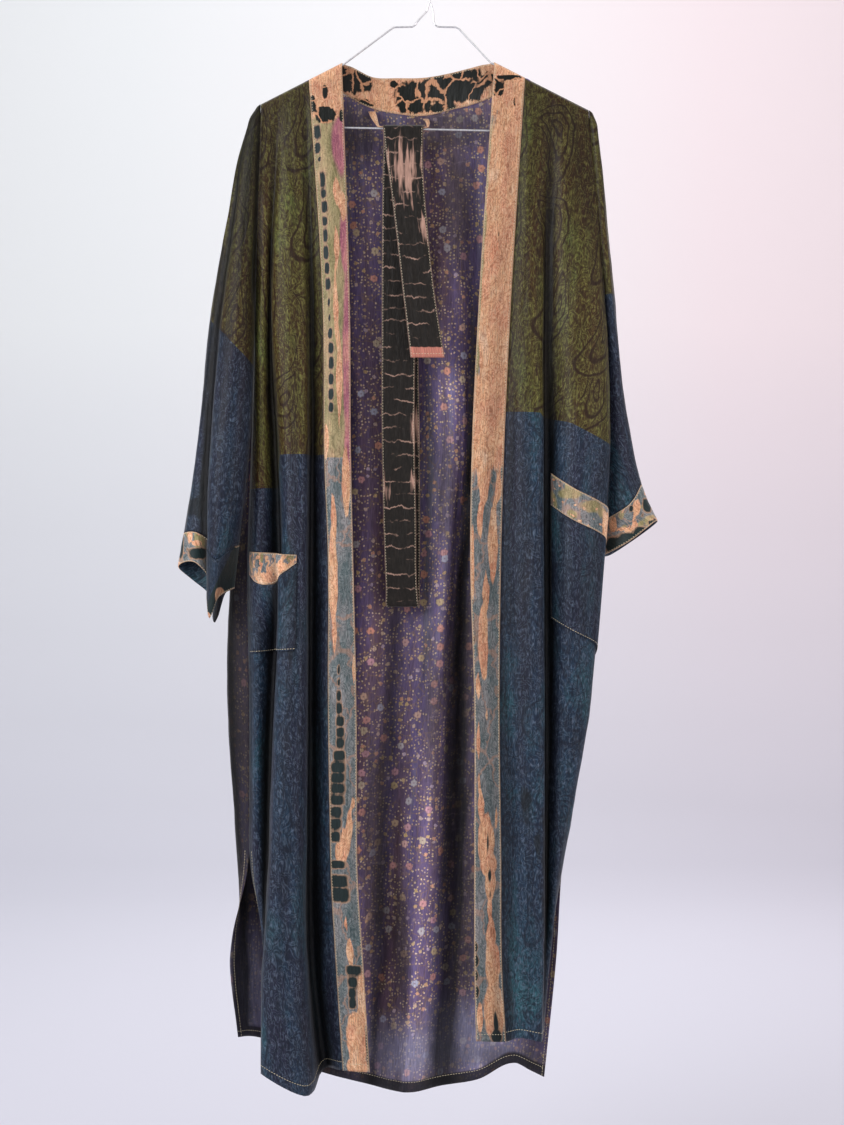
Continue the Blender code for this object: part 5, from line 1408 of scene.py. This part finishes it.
def dress_fronts(left, right, silk, band_silk, thread):
    """The two fronts and their bands, with the stitching of bands, slits and hems."""
    sides = (
        ("left", left, (0, 1, 7), LEFT_CREASES, LEFT, 1.0),
        ("right", right, (7, 6, 0), RIGHT_CREASES, RIGHT, 6.0),
    )
    for name, panel, (inner, seam, side_seam), creases, side, centre in sides:
        low, high = sorted((seam, side_seam))
        columns = split_steps(list(range(low, high + 1)), 4)
        cloth = lay_out(panel, columns, BODY_ROWS, centre=centre, level=1.0)
        free = soft(from_edges(cloth) / 10)
        x, z = heights_of(cloth)
        beneath = pocket_shadow(cloth, POCKET_LEFT if name == "left" else POCKET_RIGHT)
        rough = crinkle(cloth, 0.75, 3.0 if name == "left" else 8.0)
        relief = (crease_relief(cloth, creases) + rough) * free * beneath
        if name == "left":
            line = np.interp(cloth.us, *zip(*LEFT_DYE))[:, None] + 0 * z
        else:
            line = np.interp(x, *zip(*RIGHT_DYE))
        # The mark dark paints shadow into the deepest folds of the front.
        marks = {"dye": line - z, "dark": 0.8 * patch_mark(x, z, FRONT_FOLD_SHADE[name])}
        piece, shaped = make_sheet(f"silk_front_{name}", cloth, relief, silk, marks)
        paths = [slit_path(cloth, shaped, side, name == "left"), end_path(cloth, shaped, HEM_INSET)]
        stitches = sew(f"stitching_front_{name}", paths, thread)
        declare(piece, cloth, f"front_{name}")

        low, high = sorted((inner, seam))
        cloth = lay_out(panel, steps(low, high, 6), BODY_ROWS, step=3.2, level=1.0)
        free = soft(from_edges(cloth) / 6)
        x, z = heights_of(cloth)
        part = (1 - (cloth.us - low))[:, None] + 0 * z
        if name == "left":
            marks = {
                "peach": patch_mark(part, z, LEFT_BAND_PEACH),
                "rose": patch_mark(part, z, LEFT_BAND_ROSE),
                "dark": patch_mark(part, z, LEFT_BAND_DARK),
                "bars": patch_mark(part, z, [(*bar, 5) for bar in LEFT_BAND_BARS]),
                "olive": np.clip((z + 660) / 8 + 0.5, 0, 1),
            }
        else:
            marks = {
                "peach": patch_mark(part, z, RIGHT_BAND_PEACH),
                "rose": patch_mark(part, z, ((0.5, -300, 0.08, 60, 1.3), (0.4, -520, 0.08, 70, 1.3))),
                "dark": patch_mark(part, z, RIGHT_BAND_DARK),
                "bars": patch_mark(part, z, [(*bar, 1.6) for bar in RIGHT_BAND_BARS]),
                "olive": patch_mark(part, z, RIGHT_BAND_OLIVE),
            }
        marks["edge"] = edge_mark(cloth)
        lift = crinkle(cloth, 0.4, 5.0) * free
        piece, shaped = make_sheet(f"band_silk_{name}", cloth, lift, band_silk, marks, 2 * SHELL)
        paths = [side_path(cloth, shaped, 1.8, last) for last in (False, True)]
        stitches = sew(f"stitching_band_{name}", [*paths, end_path(cloth, shaped, 9.0)], thread)
        declare(piece, cloth, f"band_{name}")


def pocket_shadow(cloth, pocket):
    """0 where a pocket lies on the cloth, 1 away from it."""
    us, vs = cloth.us[:, None], cloth.vs[None, :]
    side = soft((pocket.sides[0] - us) / 0.4) + soft((us - pocket.sides[1]) / 0.4)
    top, foot = min(pocket.mouth), max(pocket.foot)
    return np.clip(side + soft((top - vs) / 0.2) + soft((vs - foot) / 0.15), 0, 1)


def dress_back(floral, band_silk, thread):
    """The back with its hem and slits, and the collar on its neck edge."""
    turn = (0.06, 0.12, 0.2, 0.3, 0.45, 0.6, 0.8, 1.0)
    neck = [NECK_FIRST, *[NECK_FIRST + t for t in turn]]
    neck += split_steps(list(range(NECK_FIRST + 1, NECK_LAST)), 4)[1:-1]
    neck += [NECK_LAST - t for t in reversed(turn)] + [NECK_LAST]
    sides = [split_steps(list(range(*span)), 4) for span in ((0, NECK_FIRST + 1), (NECK_LAST, len(BACK)))]
    columns = sides[0][:-1] + neck + sides[1][1:]
    cloth = lay_out(back_place, columns, BODY_ROWS, step=4.8, centre=7.0, level=1.0)
    x, z = heights_of(cloth)
    relief = (crease_relief(cloth, BACK_CREASES) + crinkle(cloth, 0.9, 15.0)) * soft(from_edges(cloth) / 10)
    # The side mark: painted shade on the back's side strips, and a darker band along the hem.
    hem = np.clip((14 - cloth.down[:, -1:] + cloth.down) / 6 + 0.5, 0, 1)
    marks = {
        "charcoal": patch_mark(x, z, BACK_CHARCOAL),
        "pale": patch_mark(x, z, BACK_PALE),
        "side": np.maximum(patch_mark(x, z, BACK_SIDE_SHADE), hem),
    }
    piece, shaped = make_sheet("silk_back", cloth, relief, floral, marks, facing=-1)
    paths = [slit_path(cloth, shaped, side, last) for last, side in ((False, LEFT), (True, RIGHT))]
    paths.append(end_path(cloth, shaped, HEM_INSET))
    stitches = sew("stitching_back", paths, thread)
    inside = sew("stitching_back_inside", paths, thread, side=-1)
    declare(piece, cloth, "back")

    cloth = lay_out(collar_place, neck, steps(0, 1, 6), step=3.0, centre=7.0)
    x, z = heights_of(cloth)
    marks = {
        "peach": np.full_like(x, 0.9),
        "rose": np.zeros_like(x),
        "dark": patch_mark(x, z, COLLAR_DARK),
        "olive": np.ones_like(x),
        "edge": np.minimum(cloth.down, cloth.down[:, -1:] - cloth.down),
    }
    lift = crinkle(cloth, 0.3, 21.0) * soft(from_edges(cloth) / 6)
    piece, shaped = make_sheet("band_silk_collar", cloth, lift, band_silk, marks, 2 * SHELL)
    paths = [end_path(cloth, shaped, 1.8, last) for last in (False, True)]
    stitches = sew("stitching_collar", paths, thread, side=-1)
    declare(piece, cloth, "collar")


def dress_sleeves(silk, band_silk, thread):
    """The sleeves and their cuff bands."""
    for name, lines, side, creases, dye in (
        ("left", SLEEVE_LEFT, LEFT, LEFT_SLEEVE_CREASES, LEFT_SLEEVE_DYE),
        ("right", SLEEVE_RIGHT, RIGHT, RIGHT_SLEEVE_CREASES, RIGHT_SLEEVE_DYE),
    ):
        sleeve = sew_sleeve(lines, side)
        round_arm = split_steps(list(range(len(lines) + 2)), 4)
        cloth = lay_out(sleeve, round_arm, split_steps([0, 1, 2, 3, 3.5, 4, 5, 6], 3), centre=2.0, level=3.0)
        x, z = heights_of(cloth)
        rough = crinkle(cloth, 0.75, 30.0 + side.way)
        relief = (crease_relief(cloth, creases) + rough) * soft(from_edges(cloth) / 14)
        # The mark dark paints shadow into the sleeve's folds.
        marks = {"dye": np.interp(x, *zip(*dye)) - z, "dark": patch_mark(x, z, SLEEVE_FOLD_SHADE[name])}
        # Painted shade: the left sleeve is darkened, most on its half next to the body; the right sleeve only a
        # little.
        marks["shade"] = 1.3 + 0.8 * soft((x + 272) / 40) if name == "left" else 0.1
        piece, shaped = make_sheet(f"silk_sleeve_{name}", cloth, relief, silk, marks)
        declare(piece, cloth, f"sleeve_{name}")

        cloth = lay_out(sleeve, round_arm, steps(6, 7, 6), step=3.2)
        x, z = heights_of(cloth)
        blots = mottle(cloth, 16, f"cuff {name}")
        marks = {
            "peach": np.maximum(0.9 * patch_mark(x, z, CUFF_PEACH[name]), blots - 0.42),
            "rose": np.zeros_like(x),
            "dark": 0 * x,
            "bars": np.maximum(patch_mark(x, z, CUFF_DARK[name]), 0.52 - blots),
            "olive": np.maximum(
                0.9 * patch_mark(x, z, CUFF_OLIVE[name]), mottle(cloth, 22, f"olive {name}") - 0.3
            ),
            "edge": np.minimum(cloth.down, cloth.down[:, -1:] - cloth.down),
            "dye": np.full_like(x, ALL_BLUE),
        }
        if name == "left":
            front = np.maximum(soft((-20 - cloth.places[..., 1] / MM) / 8), soft((x + 258) / 6))
            above = np.clip((z - np.interp(x, *zip(*LEFT_CUFF_TURN))) / 4 + 0.5, 0, 1)
            spots = patch_mark(x, z, LEFT_CUFF_SPOTS)
            marks["turned"] = above * front
            marks["bars"] = marks["bars"] * (1 - front) + front * np.clip(1.3 - 2 * spots, 0, 1)
            marks["peach"] = marks["peach"] * (1 - front) + front * spots * 1.6
            marks["edge"] = marks["edge"] + 9 * marks["turned"]
            # Painted shade on the folded front of the left cuff.
            marks["shade"] = 0.9 * front
        lift = crinkle(cloth, 0.35, 40.0) * soft(from_edges(cloth) / 6)
        piece, shaped = make_sheet(
            f"band_silk_cuff_{name}", cloth, lift, band_silk, marks, 2 * SHELL, inside=silk
        )
        points, normals = end_path(cloth, shaped, 1.8, last=False)
        seen = marks["turned"][:, 0] < 0.4 if name == "left" else np.ones(len(points), bool)
        runs = np.split(np.arange(len(points)), np.flatnonzero(np.diff(seen)) + 1)
        paths = [(points[run], normals[run]) for run in runs if seen[run[0]] and len(run) > 4]
        stitches = sew(f"stitching_cuff_{name}", [*paths, end_path(cloth, shaped, 1.8)], thread)
        declare(piece, cloth, f"cuff_{name}")


def dress_pockets(left, right, silk, band_silk, thread):
    """The patch pockets and their bands."""
    for name, panel, pocket in (("left", left, POCKET_LEFT), ("right", right, POCKET_RIGHT)):
        patch = pocket_place(panel, pocket)
        across_pocket = steps(0, 1, round((pocket.sides[1] - pocket.sides[0]) * 4))
        cloth = lay_out(patch, across_pocket, steps(1, 2, 8), step=3.6)
        x, z = heights_of(cloth)
        lift = crinkle(cloth, 0.5, 60.0) * soft(from_edges(cloth) / 10)
        marks = {"dye": np.full_like(x, ALL_BLUE), "dark": np.zeros_like(x)}
        piece, shaped = make_sheet(f"silk_pocket_{name}", cloth, np.maximum(lift, 0) * 1.5, silk, marks)
        stitches = sew(f"stitching_pocket_{name}", [end_path(cloth, shaped, 2.0)], thread)
        declare(piece, cloth, f"pocket_{name}")

        cloth = lay_out(patch, across_pocket, steps(0, 1, 6), step=2.6)
        x, z = heights_of(cloth)
        blots = mottle(cloth, 8 if name == "left" else 12, f"pocket {name}")
        share = -0.06 if name == "left" else -0.34
        marks = {
            "peach": np.maximum(0.86 * patch_mark(x, z, POCKET_PEACH[name]), blots + share),
            "rose": 0 * x,
            "dark": patch_mark(x, z, POCKET_DARK[name]),
            "olive": np.maximum(
                mottle(cloth, 26, f"olive {name}") - 0.25, 0.85 * patch_mark(x, z, POCKET_OLIVE[name])
            ),
            "edge": np.minimum(cloth.down, cloth.down[:, -1:] - cloth.down),
        }
        lift = crinkle(cloth, 0.3, 80.0) * soft(from_edges(cloth) / 6)
        piece, shaped = make_sheet(f"band_silk_pocket_{name}", cloth, lift, band_silk, marks, 2 * SHELL)
        paths = [end_path(cloth, shaped, 1.6, last) for last in (False, True)]
        stitches = sew(f"stitching_pocket_band_{name}", paths, thread)
        declare(piece, cloth, f"pocket_band_{name}")


def dress_belt(belt_silk, thread):
    """The belt over the bar, stitched along both sides."""
    place, count = belt_surface()
    cloth = lay_out(place, steps(0, 1, 6), split_steps(list(range(count)), 3), step=3.0)
    x, z = heights_of(cloth)
    front = (cloth.vs < 7.5)[None, :] + 0 * x
    part = cloth.us[:, None] + 0 * x
    faded = patch_mark(1 - part, z, BELT_FADED_FRONT) * front
    behind = patch_mark(1 - part, z, BELT_FADED_REAR)
    end = np.clip(1.6 - cloth.down / 12, 0, 1)
    marks = {"peach": np.maximum(faded, behind * (1 - front)) * 0.66, "rose": end, "edge": edge_mark(cloth)}
    lift = crinkle(cloth, 0.35, 90.0) * soft(from_edges(cloth) / 6)
    piece, shaped = make_sheet("belt_silk_strip", cloth, lift, belt_silk, marks, 2 * SHELL)
    paths = [side_path(cloth, shaped, 1.6, last) for last in (False, True)]
    paths.append(end_path(cloth, shaped, 5.0, last=False))
    outside = sew("stitching_belt_outside", paths, thread, side=-1)
    inside = sew("stitching_belt_inside", paths, thread)
    declare(piece, cloth, "belt")

    place, count = loop_surface()
    cloth = lay_out(place, steps(0, 1, 4), split_steps(list(range(count)), 3), step=1.6)
    none = 0 * cloth.along
    marks = {"peach": none + 0.9, "rose": none, "dark": none, "olive": none}
    marks["edge"] = edge_mark(cloth) + 0.6
    return cloth, marks


def belt_surface():
    """The belt's middle surface, and how many rows it has."""
    left, right, radius = BELT_OVER
    middle = bar_height((left + right) / 2)
    rows = [Vector(row) for row in BELT_FRONT]
    for angle in steps(-90, 90, 6):
        a = math.radians(angle)
        rows.append(Vector((left, right, middle + radius * math.cos(a), radius * math.sin(a))))
    rows += [Vector(row) for row in BELT_REAR]
    knots = [0.0]
    for a, b in zip(rows, rows[1:]):
        knots.append(knots[-1] + math.hypot(b[2] - a[2], b[3] - a[3]))

    def place(u, v):
        row = through(rows, knots, v)
        return Vector((row[1] + (row[0] - row[1]) * u, row[3], row[2])) * MM

    return place, len(rows)


def loop_surface():
    """The neck loop's middle surface, and how many rows it has."""
    rows = [Vector(row) for row in NECK_LOOP]
    knots = [0.0]
    for a, b in zip(rows, rows[1:]):
        knots.append(knots[-1] + (Vector(b[:3]) - Vector(a[:3])).length)

    def place(u, v):
        x, y, z, wide, deep = through(rows, knots, v)
        s = 1 - 2 * u
        return Vector((x + s * wide, y - s * deep, z)) * MM

    return place, len(rows)


FLOOR = -1.75  # height of the floor below the hook, in metres


def make_stage():
    """A pale floor that curves up into a pale wall, far enough behind for the other views."""
    paint, tree, shader = new_finish("matt_white_wall_with_painted_light")
    where = add_node(tree, "TexCoord").outputs["Object"]
    parts = add_node(tree, "SeparateXYZ", {0: where})
    side, height = parts.outputs[0], parts.outputs[2]
    # Painted light on the white wall and floor: cooler on the left and pink on the right, with painted shade
    # that makes it darker and bluer lower down.
    part = add_node(tree, "MapRange", {"Value": side, "From Min": -1.1, "From Max": 1.1}).outputs[0]
    painted_light_tint = ((0.0, "#e8ebec"), (0.5, "#eeedee"), (1.0, "#f3e5e8"))
    painted_light_tint = add_node(tree, "ValToRGB", {0: part}, painted_light_tint).outputs[0]
    low = add_node(tree, "MapRange", {"Value": height, "From Min": 0.1, "From Max": -2.0}).outputs[0]
    tree.links.new(layered(tree, painted_light_tint, (low, hex_colour("#cbcbd8"))), shader.inputs["Base Color"])
    shader.inputs["Roughness"].default_value = 0.9
    bm = bmesh.new()
    bmesh.ops.create_grid(bm, x_segments=2, y_segments=40, size=1.0)
    for vert in bm.verts:
        run = (vert.co.y + 1) / 2 * 16.0
        vert.co.x *= 9.0
        if run < 9.0:
            vert.co.y, vert.co.z = run - 6.0, FLOOR
        elif run < 11.0:
            a = (run - 9.0) / 2.0 * math.pi / 2
            vert.co.y, vert.co.z = 3.0 + 1.3 * math.sin(a), FLOOR + 1.3 * (1 - math.cos(a))
        else:
            vert.co.y, vert.co.z = 4.3, FLOOR + 1.3 + run - 11.0
    floor = piece_from(bm, "floor", paint)


def add_light(name, place, toward, size, power, code):
    """A soft square lamp."""
    lamp = bpy.data.lights.new(name, "AREA")
    lamp.size = size
    lamp.energy = power
    lamp.color = hex_colour(code)[:3]
    holder = bpy.data.objects.new(name, lamp)
    holder.location = place
    holder.rotation_euler = (Vector(toward) - Vector(place)).to_track_quat("-Z", "Y").to_euler()
    bpy.context.collection.objects.link(holder)


def make_studio():
    """Camera at the photograph's angle, soft lamps and a pale surround."""
    camera = bpy.data.cameras.new("camera")
    camera.sensor_width = 36.0
    camera.lens = 55.4
    holder = bpy.data.objects.new("camera", camera)
    holder.location = (-0.0076, -2.2, -0.7925)
    holder.rotation_euler = (math.radians(90), 0, 0)
    bpy.context.collection.objects.link(holder)
    bpy.context.scene.camera = holder
    add_light("window_on_the_left", (-2.3, -2.5, 0.5), (0.0, 0.0, -0.7), 1.8, 78, "#fbfaff")
    add_light("soft_right", (2.6, -2.4, -0.4), (0.0, 0.0, -0.8), 2.2, 28, "#fff1f0")
    add_light("behind", (0.6, 2.4, 0.6), (0.0, 0.0, -0.8), 2.0, 20, "#ffffff")
    add_light("on_the_wall", (0.0, 1.0, 2.2), (0.0, 4.3, -0.4), 3.0, 84, "#ffffff")
    surround = bpy.data.worlds.new("surround")
    surround.use_nodes = True
    sky = surround.node_tree.nodes["Background"]
    sky.inputs["Color"].default_value = hex_colour("#f3f2f2")
    sky.inputs["Strength"].default_value = 0.5
    bpy.context.scene.world = surround
    bpy.context.scene.view_settings.view_transform = "Standard"


def main():
    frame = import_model()
    silk, band_silk, floral = make_printed_silk(), make_band_silk(), make_floral_silk()
    belt_silk, thread, steel = make_belt_silk(), make_thread(), make_steel()
    left, right = sew_front(LEFT_FRONT, LEFT), sew_front(RIGHT_FRONT, RIGHT)
    dress_fronts(left, right, silk, band_silk, thread)
    dress_back(floral, band_silk, thread)
    dress_sleeves(silk, band_silk, thread)
    dress_pockets(left, right, silk, band_silk, thread)
    cloth, marks = dress_belt(belt_silk, thread)
    piece, _ = make_sheet("band_silk_neck_loop", cloth, 0 * cloth.along, band_silk, marks, 2 * SHELL)
    declare(piece, cloth, "neck_loop")
    for name in ("hanger_hook", "hanger_arm_left", "hanger_arm_right", "hanger_bar"):
        wire = frame["nodes"][name].data
        wire.materials.clear()
        wire.materials.append(steel)
    make_stage()
    make_studio()


main()
